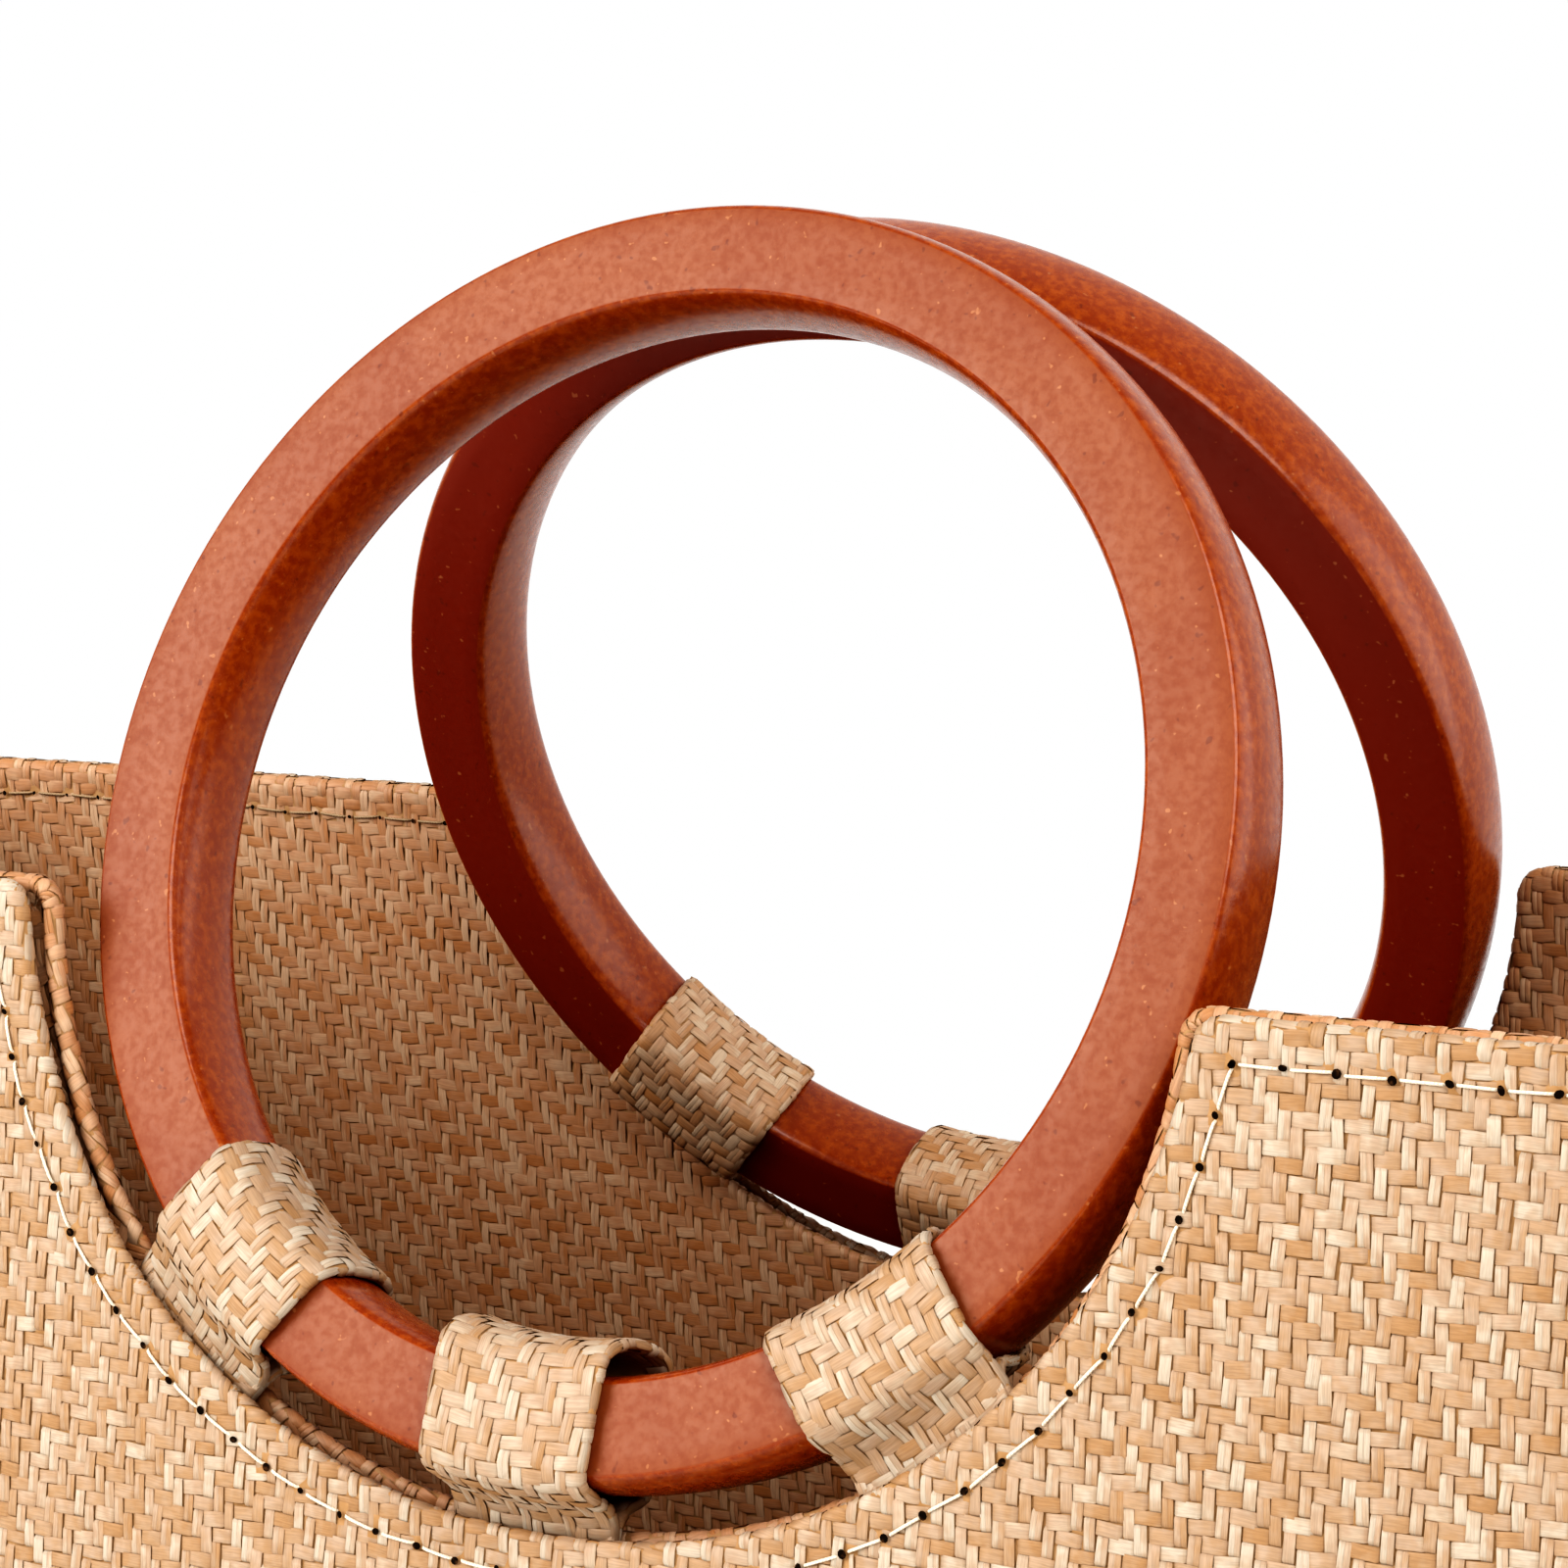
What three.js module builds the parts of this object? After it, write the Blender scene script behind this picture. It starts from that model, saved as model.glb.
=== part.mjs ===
// Straw tote bag with two wooden ring handles.
// Millimetres, +Z up, the front wall towards -Y, the base standing on Z = 0, X = 0 halfway across.
import * as THREE from 'three';

// Straw cloth
const strawThickness = 1.6;
const layerGap = 2.2; // room between the two straw layers of a wall, where the tab ends are sewn in
const fitGap = 0.3; // clearance between pieces that are sewn or laid together
const baseThickness = 2.4;

// Outside of the bag body, from the base to the top edge
const bodySections = [
  { height: 0, halfWidth: 172, halfDepth: 66 },
  { height: 45, halfWidth: 177, halfDepth: 71.5 },
  { height: 100, halfWidth: 182, halfDepth: 72.6 },
  { height: 150, halfWidth: 186.5, halfDepth: 68.1 },
  { height: 200, halfWidth: 190, halfDepth: 63.1 },
  { height: 281, halfWidth: 195, halfDepth: 55 },
];
const edgePull = 9; // how far a wall's side edges are drawn in by the gussets
const facingInset = 2.8; // the facings stop this far inside the walls' side edges
const gussetFold = 22; // inward sag of a gusset halfway across its top edge
const gussetFoldStart = 60; // height where that sag begins

// Wooden rings
const ringOuterRadius = 75;
const ringWidth = 12.9; // radial, crown to crown
const ringFaceWidth = 9.6; // flat front and back faces
const ringThickness = 13.3;
const ringHeight = 290; // centre above the floor
const ringOffset = 34; // centre in front of and behind the middle of the bag
const ringSegments = 64;
const ringSideSteps = 5;

// Handle notch in the top edge of each wall, a superellipse about the ring's centre
const notchHalfWidth = 77;
const notchExponent = 2.12;
const cornerRadius = 4; // where the notch meets the top edge

// Tabs: straw straps folded round the ring, ends sewn between a wall's layers
const tabWidth = 22;
const tabThickness = 1.5;
const tabClearance = 0.45; // running room for the ring
const tabCrotch = 76.7; // distance from the ring's axis where the two legs meet
const tabSlot = 77.6; // where the joined legs are thin enough for the slot
const tabTip = 91; // end of the sewn-in tongue
const cornerSpread = 0.45; // how far a strap's outside rounds past a ring's edge, as a share of its thickness
const tabWidthSteps = 4;

const sides = [
  { name: 'front', direction: -1, topEdge: 279.4, notchDepth: 75, ringLean: -20, ringTurn: 0 },
  { name: 'back', direction: 1, topEdge: 281, notchDepth: 73.5, ringLean: 22.7, ringTurn: 1.2 },
];
// Places of the tabs round the rings, and how far the fold stands off the ring's inner side
const tabs = [
  { side: 'front', place: 'left', angle: -127.5, slack: 0 },
  { side: 'front', place: 'middle', angle: -90.5, slack: 2.5 },
  { side: 'front', place: 'right', angle: -52.5, slack: 0 },
  { side: 'back', place: 'left', angle: -130.5, slack: 0 },
  { side: 'back', place: 'middle', angle: -92.5, slack: 0.3 },
  { side: 'back', place: 'right', angle: -54, slack: 0 },
];

// Steps of the wall grids
const rowShares = [0, 0.07, 0.18, 0.32, 0.46, 0.6, 0.74, 0.88, 1];
const notchSteps = 10;
const cornerSteps = 3;
const topEdgeSteps = 5;
const gussetSteps = 8;
const baseEdgeSteps = 20;
const slotPasses = 12;

const strawMaterial = new THREE.MeshStandardMaterial({ color: 0xdcb98c, roughness: 0.75, metalness: 0 });
const facingMaterial = new THREE.MeshStandardMaterial({ color: 0xc79d6c, roughness: 0.8, metalness: 0 });
const ringMaterial = new THREE.MeshStandardMaterial({ color: 0xa6452a, roughness: 0.4, metalness: 0 });

const radians = THREE.MathUtils.degToRad;

// Slope of a body section column at one of its rows
function sectionSlope(column, row) {
  const before = bodySections[Math.max(row - 1, 0)];
  const after = bodySections[Math.min(row + 1, bodySections.length - 1)];
  return (after[column] - before[column]) / (after.height - before.height);
}

// Half width or half depth of the body at a height, on a smooth curve through the sections
function bodySize(column, height) {
  let row = 0;
  while (row < bodySections.length - 2 && height > bodySections[row + 1].height) row += 1;
  const low = bodySections[row];
  const high = bodySections[row + 1];
  const span = high.height - low.height;
  const t = (height - low.height) / span;
  const startBend = sectionSlope(column, row) * span * t * (1 - t) * (1 - t);
  const endBend = sectionSlope(column, row + 1) * span * t * t * (1 - t);
  const blend = t * t * (3 - 2 * t);
  return low[column] * (1 - blend) + high[column] * blend + startBend - endBend;
}

// Distance of a wall surface from the bag's middle plane; depth counts inwards from the outside
function wallDistance(x, height, depth) {
  const across = x / bodySize('halfWidth', height);
  return bodySize('halfDepth', height) - edgePull * across ** 4 - depth;
}

// Closed geometry from points and triangles, with its faces turned outwards
function closedGeometry(points, triangles) {
  let volume = 0;
  for (const [a, b, c] of triangles) {
    volume += points[a].dot(new THREE.Vector3().crossVectors(points[b], points[c]));
  }
  const outward = volume > 0 ? triangles : triangles.map(([a, b, c]) => [a, c, b]);
  const geometry = new THREE.BufferGeometry().setFromPoints(points);
  geometry.setIndex(outward.flat());
  geometry.computeVertexNormals();
  return geometry;
}

// Wall between two grids of points that have the same rows and columns
function wallGeometry(outerSkin, innerSkin) {
  const rowCount = outerSkin.length;
  const columnCount = outerSkin[0].length;
  const points = [...outerSkin.flat(), ...innerSkin.flat()];
  const outer = (row, column) => row * columnCount + column;
  const inner = (row, column) => rowCount * columnCount + outer(row, column);
  const triangles = [];
  const addQuad = (a, b, c, d) => triangles.push([a, b, c], [a, c, d]);
  for (let row = 0; row < rowCount - 1; row += 1) {
    for (let column = 0; column < columnCount - 1; column += 1) {
      const next = column + 1;
      addQuad(outer(row, column), outer(row, next), outer(row + 1, next), outer(row + 1, column));
      addQuad(inner(row, column), inner(row + 1, column), inner(row + 1, next), inner(row, next));
    }
  }
  const last = columnCount - 1;
  for (let row = 0; row < rowCount - 1; row += 1) {
    addQuad(outer(row, 0), outer(row + 1, 0), inner(row + 1, 0), inner(row, 0));
    addQuad(outer(row, last), inner(row, last), inner(row + 1, last), outer(row + 1, last));
  }
  const top = rowCount - 1;
  for (let column = 0; column < last; column += 1) {
    const next = column + 1;
    addQuad(outer(0, column), inner(0, column), inner(0, next), outer(0, next));
    addQuad(outer(top, column), outer(top, next), inner(top, next), inner(top, column));
  }
  return closedGeometry(points, triangles);
}

// Half the notch's width at a depth below the ring's centre
function notchReach(depth, side) {
  const share = Math.min(depth / side.notchDepth, 1);
  return notchHalfWidth * (1 - share ** notchExponent) ** (1 / notchExponent);
}

// Upper rim of a wall, from its left side edge over the corners and the notch to its right side edge
function wallRim(side, inset) {
  const cornerDepth = ringHeight - side.topEdge + cornerRadius;
  const half = [];
  for (let step = 0; step <= notchSteps; step += 1) {
    const lowest = Math.PI / 2;
    const highest = Math.asin((cornerDepth / side.notchDepth) ** (notchExponent / 2));
    const angle = THREE.MathUtils.lerp(lowest, highest, step / notchSteps);
    const depth = side.notchDepth * Math.sin(angle) ** (2 / notchExponent);
    half.push({ x: notchReach(depth, side), z: ringHeight - depth });
  }
  const cornerX = notchReach(cornerDepth, side) + cornerRadius;
  for (let step = 1; step <= cornerSteps; step += 1) {
    const angle = (Math.PI / 2) * (step / cornerSteps);
    half.push({
      x: cornerX - cornerRadius * Math.cos(angle),
      z: side.topEdge - cornerRadius + cornerRadius * Math.sin(angle),
    });
  }
  const sideX = bodySize('halfWidth', side.topEdge) - inset;
  for (let step = 1; step <= topEdgeSteps; step += 1) {
    half.push({ x: THREE.MathUtils.lerp(cornerX, sideX, step / topEdgeSteps), z: side.topEdge });
  }
  const left = half.slice(1).reverse().map(({ x, z }) => ({ x: -x, z }));
  return [...left, ...half];
}

// One skin of a front or back wall at a depth below the outside
function wallSkin(side, depth, inset) {
  const foot = baseThickness + fitGap;
  const rim = wallRim(side, inset);
  return rowShares.map((share) => rim.map((end) => {
    const z = THREE.MathUtils.lerp(foot, end.z, share);
    const spread = (bodySize('halfWidth', z) - inset) / (bodySize('halfWidth', end.z) - inset);
    const x = end.x * spread;
    return new THREE.Vector3(x, side.direction * wallDistance(x, z, depth), z);
  }));
}

function wallLayer(side, depth, inset) {
  return wallGeometry(wallSkin(side, depth, inset), wallSkin(side, depth + strawThickness, inset));
}

// Side gusset, folded inwards towards the top
function gussetGeometry(direction) {
  const foot = baseThickness + fitGap;
  const [front, back] = sides;
  const skin = (depth) => rowShares.map((share) => {
    const row = [];
    for (let step = 0; step <= gussetSteps; step += 1) {
      const across = THREE.MathUtils.lerp(-1, 1, step / gussetSteps);
      const topEdge = THREE.MathUtils.mapLinear(across, -1, 1, front.topEdge, back.topEdge);
      const z = THREE.MathUtils.lerp(foot, topEdge, share);
      const reach = bodySize('halfDepth', z) - edgePull - strawThickness - fitGap;
      const rise = THREE.MathUtils.smoothstep(z, gussetFoldStart, topEdge);
      const sag = gussetFold * rise * (1 - across * across) ** 2;
      const x = direction * (bodySize('halfWidth', z) - sag - depth);
      row.push(new THREE.Vector3(x, across * reach, z));
    }
    return row;
  });
  return wallGeometry(skin(0), skin(strawThickness));
}

// Flat bottom, cut to the outside of the walls that stand on it
function baseGeometry() {
  const halfWidth = bodySize('halfWidth', 0);
  const edge = [];
  for (let step = 0; step <= baseEdgeSteps; step += 1) {
    const x = THREE.MathUtils.lerp(-halfWidth, halfWidth, step / baseEdgeSteps);
    edge.push(new THREE.Vector2(x, -wallDistance(x, 0, 0)));
  }
  const backEdge = edge.slice().reverse().map((point) => new THREE.Vector2(point.x, -point.y));
  const outline = new THREE.Shape([...edge, ...backEdge]);
  return new THREE.ExtrudeGeometry(outline, { depth: baseThickness, bevelEnabled: false });
}

const ringMiddle = ringOuterRadius - ringWidth / 2;
const ringBulge = (ringWidth - ringFaceWidth) / 2;

// Point on a ring's convex side and its outward direction; turn runs from the front face to the back face
function ringSide(turn, outward) {
  const reach = ringFaceWidth / 2 + ringBulge * Math.sin(turn);
  const point = new THREE.Vector2(ringMiddle + outward * reach, (-ringThickness / 2) * Math.cos(turn));
  const normal = new THREE.Vector2(
    (outward * Math.sin(turn)) / ringBulge,
    -Math.cos(turn) / (ringThickness / 2),
  ).normalize();
  return { point, normal };
}

// Ring about its own Y axis: two flat faces with crisp edges between two convex sides
function ringGeometry() {
  const profile = [];
  for (let step = 0; step <= ringSideSteps; step += 1) {
    profile.push(ringSide(Math.PI * (step / ringSideSteps), 1).point);
  }
  for (let step = ringSideSteps; step >= 0; step -= 1) {
    profile.push(ringSide(Math.PI * (step / ringSideSteps), -1).point);
  }
  profile.push(profile[0].clone());
  return new THREE.LatheGeometry(profile, ringSegments);
}

function ringPlace(side) {
  const place = new THREE.Matrix4().makeTranslation(0, side.direction * ringOffset, ringHeight);
  place.multiply(new THREE.Matrix4().makeRotationZ(radians(side.ringTurn)));
  return place.multiply(new THREE.Matrix4().makeRotationX(radians(side.ringLean)));
}

// Stations of a tab round the ring's section: inner side and direction of its thickness, front to back
function tabStations(slack) {
  const corner = (outward, axialSign) => ({
    point: new THREE.Vector2(ringMiddle + (outward * ringFaceWidth) / 2, (axialSign * ringThickness) / 2),
    normal: new THREE.Vector2(outward * cornerSpread, axialSign),
  });
  const fold = [
    corner(-1, -1),
    ringSide(Math.PI * 0.25, -1),
    ringSide(Math.PI * 0.5, -1),
    ringSide(Math.PI * 0.75, -1),
    corner(-1, 1),
  ];
  for (const { point } of fold) point.x -= slack;
  const legTurn = Math.PI / 6;
  return [ringSide(legTurn, 1), corner(1, -1), ...fold, corner(1, 1), ringSide(Math.PI - legTurn, 1)];
}

// Tab in the bag's frame: a loop round the ring, closed into a tongue between the wall's layers
function tabGeometry(side, { angle, slack }) {
  const place = ringPlace(side);
  const outwards = new THREE.Vector3(Math.cos(radians(angle)), 0, Math.sin(radians(angle)));
  const along = new THREE.Vector3(-outwards.z, 0, outwards.x);
  const slotDepth = strawThickness + layerGap / 2;
  const tongueHalf = layerGap / 2 - fitGap;

  // Point at a distance from the ring's axis, an offset along that axis and across the strap
  const locate = (rho, axial, across) => {
    const point = outwards.clone().multiplyScalar(Math.sqrt(rho * rho - across * across));
    point.addScaledVector(along, across);
    point.y = axial;
    return point.applyMatrix4(place);
  };
  // Offset along the ring's axis at which the middle of the slot lies, closed in on step by step
  const slotOffset = (rho, across) => {
    let axial = 0;
    for (let pass = 0; pass < slotPasses; pass += 1) {
      const point = locate(rho, axial, across);
      axial += side.direction * wallDistance(point.x, point.z, slotDepth) - point.y;
    }
    return axial;
  };
  const stations = tabStations(slack);
  const outerPoints = [];
  const innerPoints = [];
  for (let step = 0; step <= tabWidthSteps; step += 1) {
    const across = tabWidth * (step / tabWidthSteps - 0.5);
    const slotPoint = (rho, shift) => locate(rho, slotOffset(rho, across) + shift, across);
    const offsetPoint = ({ point, normal }, distance) => {
      return locate(point.x + normal.x * distance, point.y + normal.y * distance, across);
    };
    outerPoints.push([
      slotPoint(tabTip, -tongueHalf),
      slotPoint(tabSlot, -tongueHalf),
      ...stations.map((station) => offsetPoint(station, tabClearance + tabThickness)),
      slotPoint(tabSlot, tongueHalf),
      slotPoint(tabTip, tongueHalf),
    ]);
    innerPoints.push([
      slotPoint(tabCrotch, 0),
      ...stations.map((station) => offsetPoint(station, tabClearance)),
    ]);
  }

  const outerCount = outerPoints[0].length;
  const innerCount = innerPoints[0].length;
  const outer = (row, index) => row * outerCount + (index % outerCount);
  const inner = (row, index) => outerPoints.length * outerCount + row * innerCount + (index % innerCount);
  const triangles = [];
  for (let row = 0; row < tabWidthSteps; row += 1) {
    for (let index = 0; index < outerCount; index += 1) {
      triangles.push([outer(row, index), outer(row, index + 1), outer(row + 1, index + 1)]);
      triangles.push([outer(row, index), outer(row + 1, index + 1), outer(row + 1, index)]);
    }
    for (let index = 0; index < innerCount; index += 1) {
      triangles.push([inner(row, index), inner(row + 1, index + 1), inner(row, index + 1)]);
      triangles.push([inner(row, index), inner(row + 1, index), inner(row + 1, index + 1)]);
    }
  }
  const slotFront = 1;
  const slotBack = outerCount - 2;
  for (const row of [0, tabWidthSteps]) {
    const cap = [];
    for (let index = 0; index < innerCount; index += 1) {
      const near = outer(row, slotFront + index);
      const far = outer(row, slotFront + index + 1);
      cap.push([near, inner(row, index + 1), far]);
      cap.push([near, inner(row, index), inner(row, index + 1)]);
    }
    cap.push([outer(row, 0), inner(row, 0), outer(row, slotFront)]);
    cap.push([outer(row, 0), outer(row, outerCount - 1), inner(row, 0)]);
    cap.push([outer(row, outerCount - 1), outer(row, slotBack), inner(row, 0)]);
    triangles.push(...(row === 0 ? cap : cap.map(([a, b, c]) => [a, c, b])));
  }
  return closedGeometry([...outerPoints.flat(), ...innerPoints.flat()], triangles);
}

const bag = new THREE.Group();

function addPiece(name, geometry, material) {
  const mesh = new THREE.Mesh(geometry, material);
  mesh.name = name;
  bag.add(mesh);
  return mesh;
}

addPiece('base', baseGeometry(), strawMaterial);
addPiece('gusset_left', gussetGeometry(-1), strawMaterial);
addPiece('gusset_right', gussetGeometry(1), strawMaterial);
for (const side of sides) {
  addPiece(`${side.name}_panel`, wallLayer(side, 0, 0), strawMaterial);
  addPiece(`${side.name}_facing`, wallLayer(side, strawThickness + layerGap, facingInset), facingMaterial);
  const ring = addPiece(`${side.name}_ring`, ringGeometry(), ringMaterial);
  ring.applyMatrix4(ringPlace(side));
  for (const tab of tabs.filter((row) => row.side === side.name)) {
    addPiece(`${side.name}_tab_${tab.place}`, tabGeometry(side, tab), strawMaterial);
  }
}

export default bag;
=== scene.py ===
import math

import bpy
import numpy as np
from mathutils import Matrix, Vector
from mathutils.geometry import delaunay_2d_cdt


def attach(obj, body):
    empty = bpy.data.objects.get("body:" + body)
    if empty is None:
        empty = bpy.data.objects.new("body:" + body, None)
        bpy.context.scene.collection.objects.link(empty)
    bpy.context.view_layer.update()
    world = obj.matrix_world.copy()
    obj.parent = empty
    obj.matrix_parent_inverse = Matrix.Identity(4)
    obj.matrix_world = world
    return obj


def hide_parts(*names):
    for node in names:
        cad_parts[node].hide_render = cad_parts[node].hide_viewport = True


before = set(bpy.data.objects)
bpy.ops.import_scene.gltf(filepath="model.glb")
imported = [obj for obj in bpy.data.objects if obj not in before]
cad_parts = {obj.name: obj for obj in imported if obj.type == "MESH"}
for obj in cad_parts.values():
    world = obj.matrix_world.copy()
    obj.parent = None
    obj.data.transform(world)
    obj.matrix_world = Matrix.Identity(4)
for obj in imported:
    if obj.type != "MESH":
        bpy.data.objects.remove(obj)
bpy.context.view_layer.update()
mm = 0.001
scene = bpy.context.scene
print("frame loaded:", len(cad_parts), "solids")


# small helpers for node trees

building = {"tree": None}  # the node tree that the helpers add to


def plug(value, socket):
    if isinstance(value, bpy.types.NodeSocket):
        building["tree"].links.new(value, socket)
    else:
        socket.default_value = value


def addNode(kind, values=None, **settings):
    made = building["tree"].nodes.new(kind)
    for key, value in settings.items():
        setattr(made, key, value)
    for key, value in (values or {}).items():
        plug(value, made.inputs[key])
    return made


def geo(kind, values=None, **settings):
    return addNode("GeometryNode" + kind, values, **settings).outputs[0]


def maths(operation, *values):
    return addNode("ShaderNodeMath", dict(enumerate(values)), operation=operation).outputs[0]


def product(first, *others):
    for value in others:
        first = maths("MULTIPLY", first, value)
    return first


def times(vector, factor):
    made = addNode("ShaderNodeVectorMath", {0: vector, "Scale": factor}, operation="SCALE")
    return made.outputs["Vector"]


def plus(a, b):
    return addNode("ShaderNodeVectorMath", {0: a, 1: b}, operation="ADD").outputs["Vector"]


def combine(x=0.0, y=0.0, z=0.0):
    return addNode("ShaderNodeCombineXYZ", {0: x, 1: y, 2: z}).outputs[0]


def separate(vector):
    return addNode("ShaderNodeSeparateXYZ", {0: vector}).outputs


def smooth(value, low, high, atLow=0.0, atHigh=1.0):
    made = addNode("ShaderNodeMapRange", {0: value, 1: low, 2: high, 3: atLow, 4: atHigh},
                   interpolation_type="SMOOTHSTEP")
    return made.outputs[0]


def mixValue(factor, a, b):
    return addNode("ShaderNodeMix", {0: factor, 2: a, 3: b}, data_type="FLOAT").outputs[0]


def noise(at, scale, detail, roughness=0.5):
    values = {"Vector": at, "Scale": scale, "Detail": detail, "Roughness": roughness}
    return addNode("ShaderNodeTexNoise", values).outputs


def randomValue(low, high, ident, seed):
    return addNode("FunctionNodeRandomValue", {2: low, 3: high, 7: ident, 8: seed}).outputs[1]


def newTree(family, name, inputs, outputs):
    # starts a node group; inputs and outputs hold the sockets' names under their kinds
    tree = bpy.data.node_groups.new(name, family + "NodeTree")
    for way, sockets in (("INPUT", inputs), ("OUTPUT", outputs)):
        for kind, labels in sockets.items():
            for label in labels:
                tree.interface.new_socket(label, in_out=way, socket_type="NodeSocket" + kind)
    building["tree"] = tree
    return tree, tree.nodes.new("NodeGroupInput").outputs


def newMaterial(name):
    material = bpy.data.materials.new(name)
    material.use_nodes = True
    building["tree"] = material.node_tree
    return material


def finished(material, values):
    shader = material.node_tree.nodes["Principled BSDF"]
    for label, value in values.items():
        plug(value, shader.inputs[label])
    return material


def positionOf():
    return geo("InputPosition")


def movedTo(geometry, position):
    return geo("SetPosition", {"Geometry": geometry, "Position": position})


def movedBy(geometry, offset):
    return geo("SetPosition", {"Geometry": geometry, "Offset": offset})


def keepValue(geometry, name, value, kind, domain="POINT"):
    return geo("StoreNamedAttribute", {
        "Geometry": geometry, "Name": name, "Value": value}, data_type=kind, domain=domain)


def keptValue(name, kind):
    return geo("InputNamedAttribute", {"Name": name}, data_type=kind)


def painted(geometry, material):
    return geo("SetMaterial", {"Geometry": geometry, "Material": material})


def joined(*parts):
    made = addNode("GeometryNodeJoinGeometry")
    for part in parts:
        plug(part, made.inputs[0])
    return made.outputs[0]


def meshOf(guide):
    return addNode("GeometryNodeObjectInfo", {"Object": guide}).outputs["Geometry"]


def grow(obj, tree, values):
    # runs a geometry tree on obj and leaves the plain mesh that it makes
    modifier = obj.modifiers.new(tree.name, "NODES")
    modifier.node_group = tree
    for item in tree.interface.items_tree:
        if item.in_out == "INPUT" and item.name in values:
            value = values[item.name]
            modifier[item.identifier] = float(value) if item.socket_type == "NodeSocketFloat" else value
    graph = bpy.context.evaluated_depsgraph_get()
    mesh = bpy.data.meshes.new_from_object(obj.evaluated_get(graph), preserve_all_data_layers=True,
                                           depsgraph=graph)
    obj.modifiers.clear()
    old = obj.data
    obj.data = mesh
    bpy.data.meshes.remove(old)
    mesh.name = obj.name


# small helpers for shapes

def addMesh(name, vertices, edges, faces):
    # vertices in mm
    mesh = bpy.data.meshes.new(name)
    mesh.from_pydata((vertices * mm).tolist(), edges, faces)
    mesh.polygons.foreach_set("use_smooth", [True] * len(faces))
    obj = bpy.data.objects.new(name, mesh)
    scene.collection.objects.link(obj)
    return obj


def unit(vectors):
    return vectors / np.linalg.norm(vectors, axis=1, keepdims=True)


def ease(t):
    return t * t * (3 - 2 * t)


def lengthsAlong(path):
    return np.concatenate([[0], np.cumsum(np.linalg.norm(np.diff(path, axis=0), axis=1))])


def wayFrom(azimuth, elevation):
    # from the bag towards a place round it, both in degrees, azimuth 0 in front
    a, e = math.radians(azimuth), math.radians(elevation)
    return Vector((math.sin(a) * math.cos(e), -math.cos(a) * math.cos(e), math.sin(e)))


# camera, floor and light

viewSetup = {
    "azimuth": 29.7, "elevation": 7.0,  # degrees, where the camera stands round the bag
    "place": (242.01, -428.78, 352.59),  # mm
    "focalPixels": 4159, "imagePixels": 1600, "sensor": 36, "clip": (0.01, 50),
}


def makeCamera(v):
    data = bpy.data.cameras.new("photoCamera")
    data.sensor_width = v["sensor"]
    data.lens = v["sensor"] * v["focalPixels"] / v["imagePixels"]
    data.clip_start, data.clip_end = v["clip"]
    camera = bpy.data.objects.new("photoCamera", data)
    back = wayFrom(v["azimuth"], v["elevation"])
    a = math.radians(v["azimuth"])
    right = Vector((math.cos(a), math.sin(a), 0))
    turn = Matrix((right, back.cross(right), back)).transposed().to_4x4()
    camera.matrix_world = Matrix.Translation(Vector(v["place"]) * mm) @ turn
    scene.collection.objects.link(camera)
    scene.camera = camera


studio = {
    "floorRadius": 1.05, "floorCorners": 96, "floorColor": (0.86, 0.85, 0.83, 1), "floorRoughness": 0.7,
    "ambient": (0.55, 1.2), "ambientFade": (-0.1, 0.9),  # in front of and behind the bag
    "toe": 0.33, "curveLevels": (0.02, 0.06, 0.14, 0.3, 0.6),  # deep, rich shadows, as in the photo
    "aim": (0, 0, 0.24),
    # azimuth, elevation, distance, size, watts
    "lamps": {
        "keySoftbox": (-38, 25, 1.3, 1.0, 22.8),
        "highSoftbox": (50, 42, 1.5, 1.1, 22.8),
        "rightSoftbox": (112, 14, 1.5, 1.4, 12),
    },
}


def makeStudio(s):
    view = scene.view_settings
    view.view_transform = "Standard"
    view.use_curve_mapping = True
    for level in s["curveLevels"]:
        view.curve_mapping.curves[3].points.new(level, level ** 2 * (1 + s["toe"]) / (level + s["toe"]))
    view.curve_mapping.update()
    world = bpy.data.worlds.new("whiteStudio")
    world.use_nodes = True
    world.node_tree.nodes.clear()
    building["tree"] = world.node_tree
    x, y, z = separate(addNode("ShaderNodeTexCoord").outputs["Generated"])
    strength = smooth(y, *s["ambientFade"], *s["ambient"])
    ambient = addNode("ShaderNodeBackground", {"Color": (1, 1, 1, 1), "Strength": strength})
    white = addNode("ShaderNodeBackground", {"Color": (1, 1, 1, 1), "Strength": 1.0})
    path = addNode("ShaderNodeLightPath")
    mixed = addNode("ShaderNodeMixShader",
                    {0: path.outputs["Is Camera Ray"], 1: ambient.outputs[0], 2: white.outputs[0]})
    addNode("ShaderNodeOutputWorld", {"Surface": mixed.outputs[0]})
    scene.world = world

    bpy.ops.mesh.primitive_circle_add(vertices=s["floorCorners"], radius=s["floorRadius"], fill_type="NGON")
    floor = bpy.context.object
    floor.name = "studioFloor"
    paint = {"Base Color": s["floorColor"], "Roughness": s["floorRoughness"]}
    floor.data.materials.append(finished(newMaterial("floorPaint"), paint))

    for name, (azimuth, elevation, distance, size, watts) in s["lamps"].items():
        way = wayFrom(azimuth, elevation)
        data = bpy.data.lights.new(name, "AREA")
        data.shape = "DISK"
        data.size = size
        data.energy = watts
        lamp = bpy.data.objects.new(name, data)
        lamp.location = Vector(s["aim"]) + way * distance
        lamp.rotation_euler = way.to_track_quat("Z", "Y").to_euler()
        scene.collection.objects.link(lamp)


makeCamera(viewSetup)
makeStudio(studio)
print("camera, floor and lamps placed")


# finishes

def attribute(name, output="Fac"):
    return addNode("ShaderNodeAttribute", attribute_name=name).outputs[output]


def objectPlace():
    return addNode("ShaderNodeTexCoord").outputs["Object"]


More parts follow.
